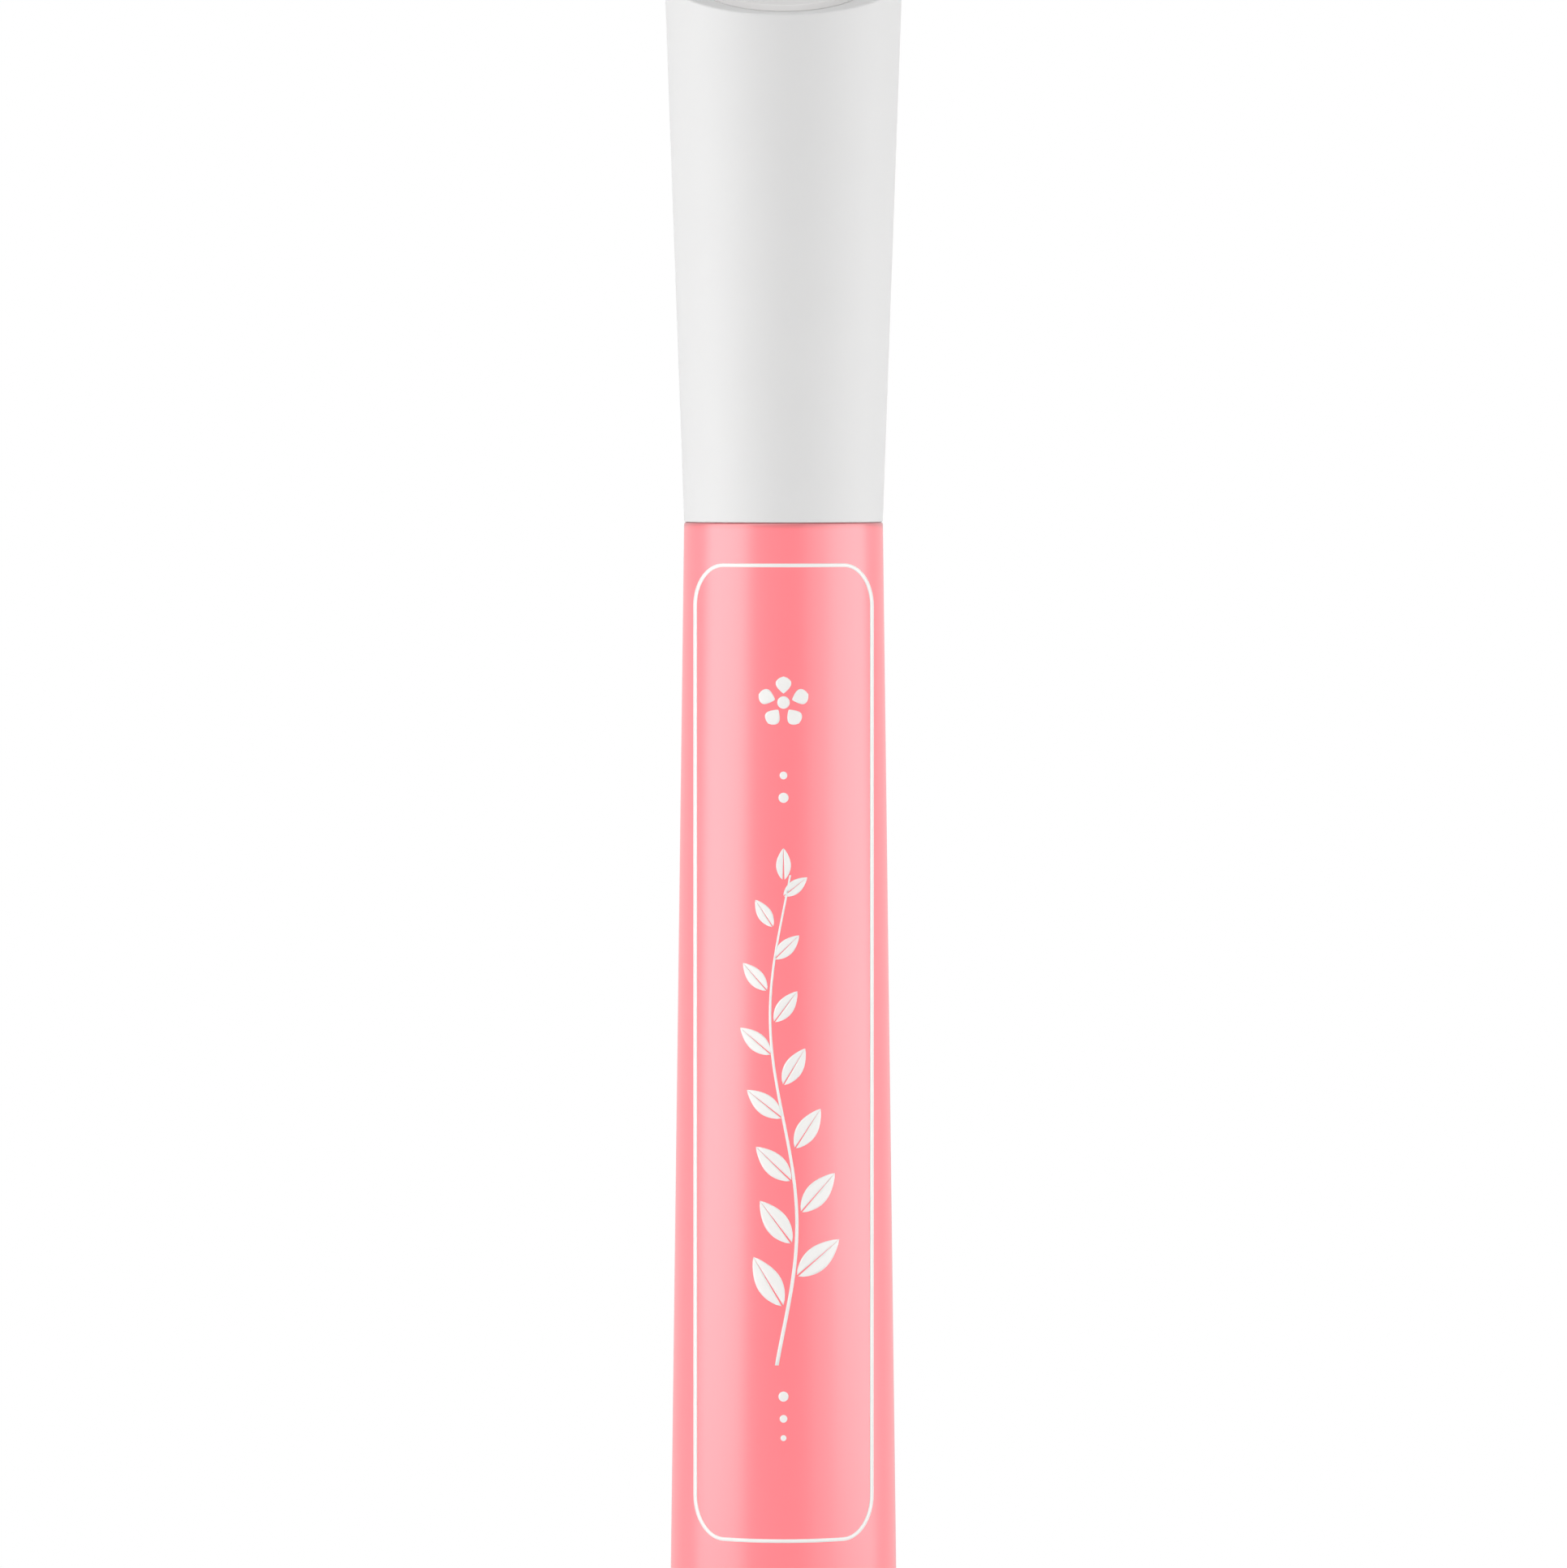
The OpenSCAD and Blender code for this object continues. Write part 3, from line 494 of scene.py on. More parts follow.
def print_tree():
    """Lays a flat sheet on the flared barrel, seen from the front, and makes it a thin closed
    film: its back lies just under the barrel's surface and its face stands just proud."""
    tree, entry, get = geometry_tree("print_film", {
        "Foot Radius": 0.0, "Slope": 0.0, "Sink": 0.01 * MM, "Proud": 0.0, "Material": None})
    x, _, z = split(tree, add_node(tree, "GeometryNodeInputPosition"))
    radius = get["Foot Radius"] + get["Slope"] * z - get["Sink"]
    depth = maths(tree, "SQRT", radius * radius - x * x) * -1
    position = add_node(tree, "ShaderNodeCombineXYZ", {0: x, 1: depth, 2: z})
    real = add_node(tree, "GeometryNodeRealizeInstances", {"Geometry": entry.outputs["Geometry"]})
    back = add_node(tree, "GeometryNodeSetPosition", {"Geometry": real, "Position": position})
    face = add_node(tree, "GeometryNodeExtrudeMesh", {
        "Mesh": back, "Offset Scale": get["Sink"] + get["Proud"], "Individual": False})
    turned_back = add_node(tree, "GeometryNodeFlipFaces", {"Mesh": back})
    both = tree.nodes.new("GeometryNodeJoinGeometry")
    tree.links.new(face.outputs["Mesh"], both.inputs[0])
    tree.links.new(turned_back.outputs[0], both.inputs[0])
    film = add_node(tree, "GeometryNodeMergeByDistance", {"Geometry": both, "Distance": 1e-6})
    return end_tree(tree, film, get["Material"])


# Materials

# Size of the broad patches in a finish, and the colour of the painted shade under a joint
PATCHES, PAINTED_SHADE = 6 * MM, (0.06, 0.02, 0.02)


def blank_material(name):
    """A material, its tree, which holds only an output, and the output's socket."""
    material = bpy.data.materials.new(name)
    material.use_nodes = True
    tree = material.node_tree
    tree.nodes.clear()
    return material, tree, tree.nodes.new("ShaderNodeOutputMaterial").inputs["Surface"]


def finish(name, colour, roughness, tint=0.02, unevenness=0.05, grain=0.15, relief=0.002,
           lines=None, coat=0.0, coat_roughness=0.3, coat_ior=1.5, metallic=0.0, ior=1.46,
           transmission=0.0, subsurface=0.0, tone=None, dust=None, joint_shade=None):
    """A procedural finish on Object coordinates. Broad patches vary the colour, a fine grain
    varies the roughness and gives a relief, and lines adds the rings that a tool or mould
    leaves, as (distance between rings, depth). Grain, relief and lines are in millimetres. tone
    names an attribute that varies the colour from strand to strand, and dust is a colour that
    gathers in faint patches. The last argument is the painted shade under a joint: (height,
    radius, reach, share), the first three in metres. The colour is darker by that share where
    an outer edge meets its neighbour."""
    material, tree, surface = blank_material(name)
    where = add_node(tree, "ShaderNodeTexCoord").outputs["Object"]
    broad = number(tree, "ShaderNodeTexNoise", {"Vector": where, "Scale": 1 / PATCHES, "Detail": 3.0})
    fine = number(tree, "ShaderNodeTexNoise", {
        "Vector": where, "Scale": 1 / (grain * MM), "Detail": 4.0, "Roughness": 0.6})
    shade = broad
    if tone is not None:
        own = number(tree, "ShaderNodeAttribute", output="Fac", attribute_name=tone)
        shade = broad * 0.4 + own * 0.3 + 0.3  # own lies between -1 and 1
    dark = tuple(c * (1 - tint) for c in colour)
    light = tuple(min(1.0, c * (1 + tint)) for c in colour)
    blend = blended(tree, shade, dark, light)
    if dust is not None:
        start, full, most = 0.5, 0.75, 0.12
        cover = eased(tree, broad * 0.7 + fine * 0.3, start, full) * most
        blend = blended(tree, cover, blend, dust)
    x, y, level = split(tree, where)
    if joint_shade is not None:
        height, radius, reach, share = joint_shade
        outward = maths(tree, "SQRT", x * x + y * y)
        # Painted shade under the joint: it grows up to the height with an uneven edge, and only near the
        # outer face
        cover = eased(tree, level + (broad - 0.5) * (reach / 4), height - reach, height + reach * 0.2)
        cover = cover * eased(tree, outward, radius - reach * 0.6, radius - reach * 0.2) * share
        blend = blended(tree, cover, blend, PAINTED_SHADE)
    rough = roughness + (fine - 0.5) * (2 * unevenness) + (broad - 0.5) * unevenness
    height = fine
    if lines is not None:
        spacing, depth = lines
        rings = maths(tree, "SINE", level * (2 * pi / (spacing * MM)) + broad * 2)
        height = fine + rings * (depth / relief)
    bump = add_node(tree, "ShaderNodeBump", {"Distance": relief * MM, "Height": height})
    shader = add_node(tree, "ShaderNodeBsdfPrincipled", {
        "Base Color": blend, "Roughness": rough, "Normal": bump, "IOR": ior, "Metallic": metallic,
        "Coat Weight": coat, "Coat Roughness": coat_roughness, "Coat IOR": coat_ior,
        "Transmission Weight": transmission, "Subsurface Weight": subsurface,
        "Subsurface Radius": (1.0, 0.8, 0.7), "Subsurface Scale": 0.3 * MM})
    tree.links.new(shader.outputs[0], surface)
    material.diffuse_color = (*colour, 1.0)
    return material


def dress(node, material):
    """Gives a CAD node its material."""
    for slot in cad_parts[node].material_slots:
        slot.material = material


def settle(piece, material, body, slot, *nodes):
    """Finishes a piece: its material, the body it rides on and the nodes it stands for."""
    if material is not None:
        piece.data.materials.clear()
        piece.data.materials.append(material)
    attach(piece, body)
    if nodes:
        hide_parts(*nodes)


# Sizes and colours that a user would change


def setting(kind, scale, **common):
    """A function that makes properties of one kind, with defaults in units of scale."""
    return lambda name, description, default: kind(
        name=name, description=description, default=default * scale, **common)


def brightness(name, default, where=""):
    return bpy.props.FloatProperty(name=name, description=f"Brightness of the {name.lower()}{where}",
                                   default=default, min=0)


length = setting(bpy.props.FloatProperty, MM, min=0, unit="LENGTH", precision=5)
angle = setting(bpy.props.FloatProperty, radians(1), subtype="ANGLE")


def colour(name, description, default):
    return bpy.props.FloatVectorProperty(name=name, description=description, default=default,
                                         size=3, min=0, max=1, subtype="COLOR")


class PenSizes(bpy.types.PropertyGroup):
    """Sizes of the finished surfaces, over what the CAD model gives."""

    sides: bpy.props.IntProperty(name="Sides", description="Sides of the turned pieces", default=192, min=24)
    edge: length("Edge", "Rounding of the sharp edges that the CAD model has", 0.035)
    lip: length("Cap lip", "Width of the flat lip round the cap's top", 0.4)
    lip_edge: length("Cap lip's edge", "Rounding of the lip's outer edge", 0.15)
    lip_step: length("Lip step", "Step from the lip down into the dish", 0.12)
    dish: length("Dish", "Depth of the dish in the cap's top, where it meets the disc", 0.7)
    web: length("Cap web", "Thickness of the cap's top under the dish", 1.4)
    disc_bead: length("Disc edge's height", "Height of the disc's raised edge", 0.36)
    disc_bead_width: length("Disc edge's width", "Width of the disc's raised edge", 0.8)
    seam: length("Seam", "Gap that shows between the cap's mouth and the barrel", 0.012)
    slant: angle("Slant", "Slant of the cap's top face", 20)


class PrintSizes(bpy.types.PropertyGroup):
    """Sizes of the print on the barrel, as it is seen from the front."""

    half_width: length("Frame's half width", "From the axis to the frame's upright lines", 5.95)
    top: length("Frame's top", "Height of the frame's top line", 88.8)
    bottom: length("Frame's bottom", "Height of the frame's bottom line", 23.15)
    corner_width: length("Corner's width", "Width of the frame's rounded corners", 1.9)
    corner_height: length("Corner's height", "Height of the frame's rounded corners", 2.76)
    stroke: length("Stroke", "Width of the frame's line", 0.25)
    proud: length("Film", "How far the print stands proud of the barrel", 0.02)
    sprig_start: length("Sprig's foot", "Height of the sprig's lowest point", 35)
    sprig_length: length("Sprig", "Length of the sprig", 35)
    leaf: length("Leaf", "Length of the lowest leaves", 4.4)
    leaf_width: length("Leaf's width", "Width of the lowest leaves", 1.7)
    blossom: length("Blossom", "Height of the blossom's middle", 79.6)
    petal: length("Petal", "Length of the blossom's petals", 1.75)


class BrushSizes(bpy.types.PropertyGroup):
    """The brush."""

    count: bpy.props.IntProperty(name="Bristles", description="Number of bristles", default=720, min=1)
    thickness: length("Thickness", "Thickness of one bristle at its root", 0.1)
    tuck: length("Tuck", "How far the bristles reach down into their ring", 1.6)


class PenColours(bpy.types.PropertyGroup):
    """Colours of the pen."""

    body: colour("Body", "Satin pink of the barrel and the knob", (0.94, 0.165, 0.195))
    cap: colour("Cap", "Satin white of the cap", (0.606, 0.605, 0.604))
    disc: colour("Disc", "Satin white of the disc in the cap", (0.65, 0.64, 0.635))
    ink: colour("Ink", "White of the print", (0.755, 0.75, 0.735))
    neck: colour("Neck", "White of the collar and the nozzle", (0.66, 0.66, 0.645))
    bristle: colour("Bristle", "Natural nylon of the brush", (0.9, 0.865, 0.8))


class StageSizes(bpy.types.PropertyGroup):
    """Camera and lamps. A lamp's brightness of 1 shows white."""

    distance: length("Camera distance", "From the camera to the point it looks at", 607)
    aim: length("Aim", "Height of the point that the camera looks at", 73.86)
    pitch: angle("Pitch", "How far the camera looks down", 2.19)
    lens: bpy.props.FloatProperty(name="Lens", description="Focal length, in millimetres", default=205.1)
    lamp_reach: length("Lamps' distance", "From the pen to the lamps beside it", 140)
    lamp_height: length("Lamps' height", "Height of the lamps beside the pen", 220)
    left_start: angle("Left lamp's start", "Where it starts, round from the camera's side", 40)
    left_end: angle("Left lamp's end", "Where it ends", 97)
    right_start: angle("Right lamp's start", "Where it starts, round from the camera's side", 52)
    right_end: angle("Right lamp's end", "Where it ends", 107)
    left: brightness("Left lamp", 2.15)
    right: brightness("Right lamp", 1.9)
    edge: brightness("Soft edge", 0.9, " in front of the right lamp")
    front: brightness("Front lamp", 1.75)
    top: brightness("Top lamp", 2.2)
    back: brightness("Back lamp", 2.0)
    room: brightness("Room", 0.22, ", as it lights the pen")
    gloss: brightness("Room in a gloss", 0.72, " of the pen")


# The pieces

# The cap's roundings at its mouth, the lip's step and the bore's roof, and how much wider than
# the bore its groove is, at least and at most
MOUTH_IN, MOUTH_OUT, STEP_TOP, STEP_FOOT, ROOF = (mm * MM for mm in (0.12, 0.15, 0.06, 0.08, 0.2))
GROOVE_LEAST, GROOVE_MOST = 0.01 * MM, 0.2 * MM
# The floor round the disc, its play, its foot's rounding and its lift off its seat. Its raised
# edge is in shares of the edge's width and height, with the rounding as a share of the height.
DISC_GAP, DISC_PLAY, DISC_FOOT, DISC_LIFT = (mm * MM for mm in (0.1, 0.03, 0.1, 0.001))
DISC_EDGE = ((0, 0, 0), (0.5, 0.95, 0.9), (0.65, 1, 0.7), (1, 0.25, 0.8))


class PEN_OT_cap(bpy.types.Operator):
    """Cap: the flared sleeve with its slanted, dished top, the disc in the dish and the liner"""

    bl_idname = "pen.cap"
    bl_label = "Cap"

    def execute(self, context):
        sizes, shades = context.scene.pen_sizes, context.scene.pen_colours
        outline = section("cap_shell")[0]
        mouth_z = min(z for r, z in outline)
        mouth_z -= (mouth_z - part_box("barrel")[1].z - sizes.seam) / 2
        face_z = max(z for r, z in outline)
        slope, foot_r = flank("cap_shell")
        bore_r = min(r for r, z in outline if z < mouth_z + 1 * MM)
        groove = [(r, z) for r, z in outline if bore_r + GROOVE_LEAST < r < bore_r + GROOVE_MOST]
        groove_r = max(r for r, z in groove)
        groove_low, groove_high = min(z for r, z in groove), max(z for r, z in groove)
        tilt = Matrix.Translation((0, 0, face_z)) @ Matrix.Rotation(sizes.slant, 4, "X")
        disc_r = outer_radius("cap_top_disc")
        hole_r = disc_r - sizes.disc_bead_width
        lip_r = foot_r + slope * face_z - sizes.lip
        dish_r = (foot_r + slope * face_z) / cos(sizes.slant)
        fall = (sizes.dish - sizes.lip_step) / (dish_r - disc_r - DISC_GAP)

        def dish_depth(r):
            """Depth of the dish at a radius from the middle of the slanted face."""
            return sizes.lip_step + (dish_r - r) * fall

        def on_cylinder(r, a, depth):
            """Point at radius r and angle a about the pen's axis, at a depth under the slanted
            face. depth is a number, or a rule for the radius on that face."""
            x, y = r * cos(a), r * sin(a)
            under = depth if not callable(depth) else depth(r)
            # Four rounds bring the point and the depth that is asked for there together
            for _ in range(4):
                rise = (y * sin(sizes.slant) - under) / cos(sizes.slant)
                if callable(depth):
                    along = y * cos(sizes.slant) + rise * sin(sizes.slant)
                    under = depth(hypot(x, along))
            return Vector((x, y, face_z + rise))

        def column(a):
            """Corners of the sleeve's section at an angle, with their roundings."""
            out, up = Vector((cos(a), sin(a), 0)), Vector((0, 0, 1))
            # Where the flank meets the slanted face
            lean = sin(a) * tan(sizes.slant)
            top_z = (face_z + foot_r * lean) / (1 - slope * lean)

            def on_face(r, depth):
                return tilt @ Vector((r * cos(a), r * sin(a), -depth)), 0

            return [
                (out * bore_r + up * mouth_z, MOUTH_IN),
                (out * (foot_r + slope * mouth_z) + up * mouth_z, MOUTH_OUT),
                (out * (foot_r + slope * top_z) + up * top_z, sizes.lip_edge),
                (on_cylinder(lip_r, a, 0.0), STEP_TOP),
                (on_cylinder(lip_r, a, dish_depth), STEP_FOOT),
                on_face(disc_r + DISC_GAP, sizes.dish),
                on_face(hole_r, sizes.dish),
                on_face(hole_r, sizes.dish + sizes.web),
                (on_cylinder(bore_r, a, sizes.dish + sizes.web), ROOF),
                (out * bore_r + up * groove_high, 0),
                (out * groove_r + up * groove_high, 0),
                (out * groove_r + up * groove_low, 0),
                (out * bore_r + up * groove_low, 0)]

        count = sizes.sides
        columns = rounded_columns([column(2 * pi * i / count) for i in range(count)], CAP_PIECE)
        white = finish("cap_white_satin", shades.cap, 0.5, tint=0.012, unevenness=0.04, grain=0.12,
                       relief=0.0015, ior=1.38)
        settle(grid_mesh("cap_sleeve", columns, True), white, "cap_body", "cap_white", "cap_shell")

        # The disc, turned in the frame of the slanted face
        seat, plug_r = DISC_LIFT - sizes.dish, hole_r - DISC_PLAY
        width, height = sizes.disc_bead_width, sizes.disc_bead
        edge = [((disc_r - width * across, seat + height * up), height * bend)
                for across, up, bend in DISC_EDGE]
        disc = turned("cap_disc", [
            ((0, seat - sizes.web), 0), ((plug_r, seat - sizes.web), DISC_FOOT), ((plug_r, seat), 0),
            *edge, ((0, seat), 0)], count, tilt)
        disc_white = finish("disc_white_satin", shades.disc, 0.3, tint=0.012, unevenness=0.03,
                            grain=0.2, relief=0.0006)
        settle(disc, disc_white, "cap_body", "cap_disc_white", "cap_top_disc")
        dress("cap_liner", finish("liner_polyethylene", (0.78, 0.78, 0.72), 0.45, tint=0.03, subsurface=0.4))
        return {"FINISHED"}


class PEN_OT_body(bpy.types.Operator):
    """Body: the flared barrel, the twist knob and the plug in its foot"""

    bl_idname = "pen.body"
    bl_label = "Barrel and knob"

    def execute(self, context):
        sizes = context.scene.pen_sizes
        shade = context.scene.pen_colours.body
        gloss = dict(tint=0.012, unevenness=0.03, grain=0.1, relief=0.001, ior=1.55, coat=1.0,
                     coat_roughness=0.33, coat_ior=1.7)
        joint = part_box("barrel")[1].z
        slope, foot_r = flank("barrel")
        # Painted shade on the barrel just under the cap's mouth
        joint_shade = (joint, slope * joint + foot_r, 0.5 * MM, 0.5)
        barrel_pink = finish("barrel_pink_satin", shade, 0.34, joint_shade=joint_shade, **gloss)
        rise = (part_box("cap_shell")[0].z - joint - sizes.seam) / 2
        barrel = turned_again("barrel_tube", "barrel", sizes.sides, sizes.edge, rise=rise)
        settle(barrel, barrel_pink, "barrel_body", "barrel_pink", "barrel")
        hole = min(r for r, z in section("knob_shell")[0])
        knob = turned_again("knob_sleeve", "knob_shell", sizes.sides, sizes.edge, hexagon(hole, 1 * MM))
        settle(knob, finish("body_pink_satin", shade, 0.34, **gloss), "knob_body", "knob_pink", "knob_shell")
        plug_pink = finish("plug_pink_matte", shade, 0.5, unevenness=0.06, grain=0.2, relief=0.004)
        plug = turned_again("foot_cap", "foot_plug", sizes.sides, 0.12 * MM)
        settle(plug, plug_pink, "knob_body", "plug_pink", "foot_plug")
        return {"FINISHED"}


# The stem's bare ends, its swing to each side, and half its width at its foot
STEM_END, SWING, STEM_HALF = 2.5 * MM, 0.9 * MM, 0.13 * MM
# How far under the stem's top the end leaf has its foot, and its size
END_LEAF_DROP, END_LEAF_SIZE = 2.6 * MM, 0.55
# The bare foot of a leaf and of a petal and half the petal's width, as shares of the length,
# and half the leaf's bare midrib
STALK, PETAL_FOOT, PETAL_HALF, RIB_HALF = 0.12, 0.34, 0.3, 0.07 * MM
# Heights and radii of the dots, and the radius of the blossom's middle, in millimetres
DOTS, HEART = ((73.2, 0.34), (74.7, 0.26), (32.9, 0.34), (31.4, 0.26), (30.1, 0.2)), 0.42


def centred(spots):
    """The pairs of a strip from (middle, height, half width) spots."""
    return [((x - half, z), (x + half, z)) for x, z, half in spots]


class PEN_OT_print(bpy.types.Operator):
    """Print: the rounded frame, the sprig, the blossom and the dots on the barrel's front"""

    bl_idname = "pen.print"
    bl_label = "Print"

    def execute(self, context):
        art = context.scene.pen_print
        ink = finish("print_white_ink", context.scene.pen_colours.ink, 0.4, unevenness=0.08,
                     grain=0.08, relief=0.0015)
        slope, foot_r = flank("barrel")
        film = print_tree()

        def laid(name, strips, start=None):
            sheet = flat_sheet(name, strips, start)
            piece = grown(name, film, sheet, Foot_Radius=foot_r, Slope=slope, Proud=art.proud, Material=ink)
            settle(piece, None, "barrel_body", "barrel_pink")

        laid("print_frame", [(self.frame_edges(art), 2, True)])
        leaves = grown("leaves", leaf_tree(), flat_sheet("leaf", self.leaf(art)), Count=14, Bend=SWING,
                       Start=art.sprig_start + STEM_END, Length=art.sprig_length - 2 * STEM_END)
        end_leaf = self.leaf(art, art.sprig_length + art.sprig_start - END_LEAF_DROP, END_LEAF_SIZE)
        laid("print_sprig", [(self.stem_edges(art), 2, False), *end_leaf, *self.dots(DOTS)], leaves)
        petal = flat_sheet("petal", self.petal(art))
        petals = grown("petals", ring_tree(), petal, Count=5, Level=art.blossom)
        laid("print_blossom", self.dots([(art.blossom / MM, HEART)]), petals)
        return {"FINISHED"}

    def frame_edges(self, art):
        """Pairs of points on the two edges of the frame's line, round its path."""
        half = art.stroke / 2
        middle_z = (art.top + art.bottom) / 2
        tall = (art.top - art.bottom) / 2 - art.corner_height
        wide = art.half_width - art.corner_width
        spots = []
        for k, (sx, sz) in enumerate(((1, 1), (-1, 1), (-1, -1), (1, -1))):
            spots += [(sx * wide, middle_z + sz * tall, pi / 2 * (k + t)) for t in shares(16)]
            # The straight run from this corner to the next
            along_x = k % 2 == 0
            for t in shares(40 if along_x else 90)[1:-1]:
                across, up = (1 - 2 * t, 1) if along_x else (1, 1 - 2 * t)
                spots.append((sx * wide * across, middle_z + sz * tall * up, pi / 2 * (k + 1)))
        return [[(x + (art.corner_width + side) * cos(a), z + (art.corner_height + side) * sin(a))
                 for side in (-half, half)] for x, z, a in spots]

    def stem_edges(self, art):
        """Pairs of points on the two edges of the sprig's stem."""
        spots = []
        for t in shares(60):
            share = (t * art.sprig_length - STEM_END) / (art.sprig_length - 2 * STEM_END)
            z = art.sprig_start + t * (art.sprig_length - 2 * MM)
            spots.append((SWING * sin(2 * pi * share), z, STEM_HALF * (1 - 0.5 * t)))
        return centred(spots)

    def leaf(self, art, foot=0.0, size=1.0):
        """A leaf that stands on its foot, as two strips beside a bare midrib."""
        strips = []
        for side in (-1, 1):
            pairs = []
            for blade in shares(14):
                t = STALK + (1 - STALK) * blade
                rib = RIB_HALF * (1.06 - t)
                swell = sin(pi * blade) ** 0.8 * (1.15 - 0.3 * t)
                out = rib + art.leaf_width / 2 * size * swell
                z = foot + t * art.leaf * size
                pairs.append(((side * rib, z), (side * out, z)))
            strips.append((pairs, 4, False))
        return strips

    def petal(self, art):
        """A round-ended petal that stands a little off the blossom's middle, as one strip."""
        return [(centred(
            (0, (PETAL_FOOT + (1 - PETAL_FOOT) * t) * art.petal,
             PETAL_HALF * art.petal * sin(pi * t ** 1.35) ** 0.65) for t in shares(14)), 6, False)]

    def dots(self, dots):
        """Strips of round dots on the middle line, from heights and radii in millimetres."""
        return [(centred((0, (z - r * cos(pi * t)) * MM, r * sin(pi * t) * MM) for t in shares(16)), 4, False)
                for z, r in dots]


class PEN_OT_neck(bpy.types.Operator):
    """Neck: the collar with its snap bead, the nozzle and the ring that holds the bristles"""

    bl_idname = "pen.neck"
    bl_label = "Collar and nozzle"

    def execute(self, context):
        sides, shade = context.scene.pen_sizes.sides, context.scene.pen_colours.neck
        gloss = dict(tint=0.015, unevenness=0.04, grain=0.3, relief=0.001, subsurface=0.2)
        clear = finish("ring_natural", (0.6, 0.605, 0.6), 0.2, grain=0.1, relief=0.0006)
        for name, node, count, bend, slot, material in (
                ("collar_turned", "front_collar", sides, 0.08 * MM, "collar_white",
                 finish("collar_white_gloss", shade, 0.24, **gloss)),
                ("nozzle_cone", "nozzle", sides, 0.1 * MM, "nozzle_white",
                 finish("nozzle_white_gloss", shade, 0.24, **gloss)),
                ("bristle_ring", "brush_ring", 96, 0.05 * MM, "ring_natural", clear)):
            settle(turned_again(name, node, count, bend), material, "barrel_body", slot, node)
        return {"FINISHED"}


class PEN_OT_brush(bpy.types.Operator):
    """Brush: several hundred tapered nylon bristles that close to a soft point"""

    bl_idname = "pen.brush"
    bl_label = "Brush"

    def execute(self, context):
        brush = context.scene.pen_brush
        nylon = finish("bristle_nylon", context.scene.pen_colours.bristle, 0.32, tint=0.12,
                       grain=0.4, relief=0.0004, subsurface=0.3, tone="tone")
        tube_gap, ring_gap = 0.11 * MM, 0.08 * MM
        ring_top, tip = (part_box(node)[1].z for node in ("brush_ring", "bristle_bundle"))
        ring_bore = min(r for r, z in section("brush_ring")[0])
        piece = grown(
            "brush_bristles", brush_tree(), bpy.data.meshes.new("bristles"), Count=brush.count,
            Inner_Radius=outer_radius("feed_tube") + tube_gap, Outer_Radius=ring_bore - ring_gap,
            Bristle_Radius=brush.thickness / 2, Ring_Level=ring_top, Root_Level=ring_top - brush.tuck,
            Length=tip - ring_top, Material=nylon)
        settle(piece, None, "barrel_body", "bristle_nylon", "bristle_bundle")
        dress("feed_tube", finish("tube_clear", (0.6, 0.63, 0.66), 0.25, transmission=0.3))
        return {"FINISHED"}


class PEN_OT_mechanism(bpy.types.Operator):
    """Mechanism: the finishes of the screw drive, the piston, the ratchet and the seals"""

    bl_idname = "pen.mechanism"
    bl_label = "Mechanism"

    def execute(self, context):
        acetal, moulded = (0.74, 0.74, 0.68), (0.78, 0.78, 0.77)
        waxy = dict(tint=0.03, grain=0.3, subsurface=0.2)
        coarse = dict(grain=0.25, relief=0.003)
        rubber = finish("seal_rubber", (0.012, 0.012, 0.014), 0.55, tint=0.2, unevenness=0.08,
                        grain=0.08, ior=1.5, dust=(0.2, 0.2, 0.2))
        for node in ("collar_seal", "knob_drag_ring"):
            dress(node, rubber)
        for node, name, shade, roughness, more in (
                ("mechanism_housing", "housing_white", moulded, 0.4, coarse),
                ("piston_core", "piston_white", moulded, 0.38, dict(grain=0.2, lines=(0.2, 0.001))),
                ("piston_seal", "piston_elastomer", (0.76, 0.73, 0.63), 0.5, dict(tint=0.04, subsurface=0.3)),
                ("screw_nut", "nut_acetal", acetal, 0.33, waxy),
                ("lead_screw", "screw_acetal", acetal, 0.3, waxy),
                ("drive_sleeve", "sleeve_grey", (0.55, 0.59, 0.63), 0.42, dict(coarse, tint=0.03)),
                ("click_ring", "click_amber", (0.62, 0.28, 0.06), 0.35, dict(waxy, tint=0.05, grain=0.2)),
                ("click_spring", "spring_steel", (0.56, 0.57, 0.58), 0.24,
                 dict(tint=0.06, unevenness=0.06, grain=0.12, relief=0.001, lines=(0.05, 0.0003),
                      metallic=1.0))):
            dress(node, finish(name, shade, roughness, **more))
        return {"FINISHED"}


# The floor's half width, its depth under the pen, and its shades
FLOOR_HALF, FLOOR_DROP, FLOOR_SHADES = 3.0, 0.02 * MM, ((0.87, 0.87, 0.87), (0.9, 0.9, 0.9))
# Places and sizes of the lamps away from the pen, and the height that they face, in metres
FRONT_LAMP, TOP_LAMP = ((-0.45, -0.9, 0.6), (0.9, 0.5)), ((0, -0.05, 0.9), (0.6, 0.6))
BACK_LAMP, PEN_MIDDLE = ((0, 0.7, 0.22), (0.9, 0.4)), 0.07


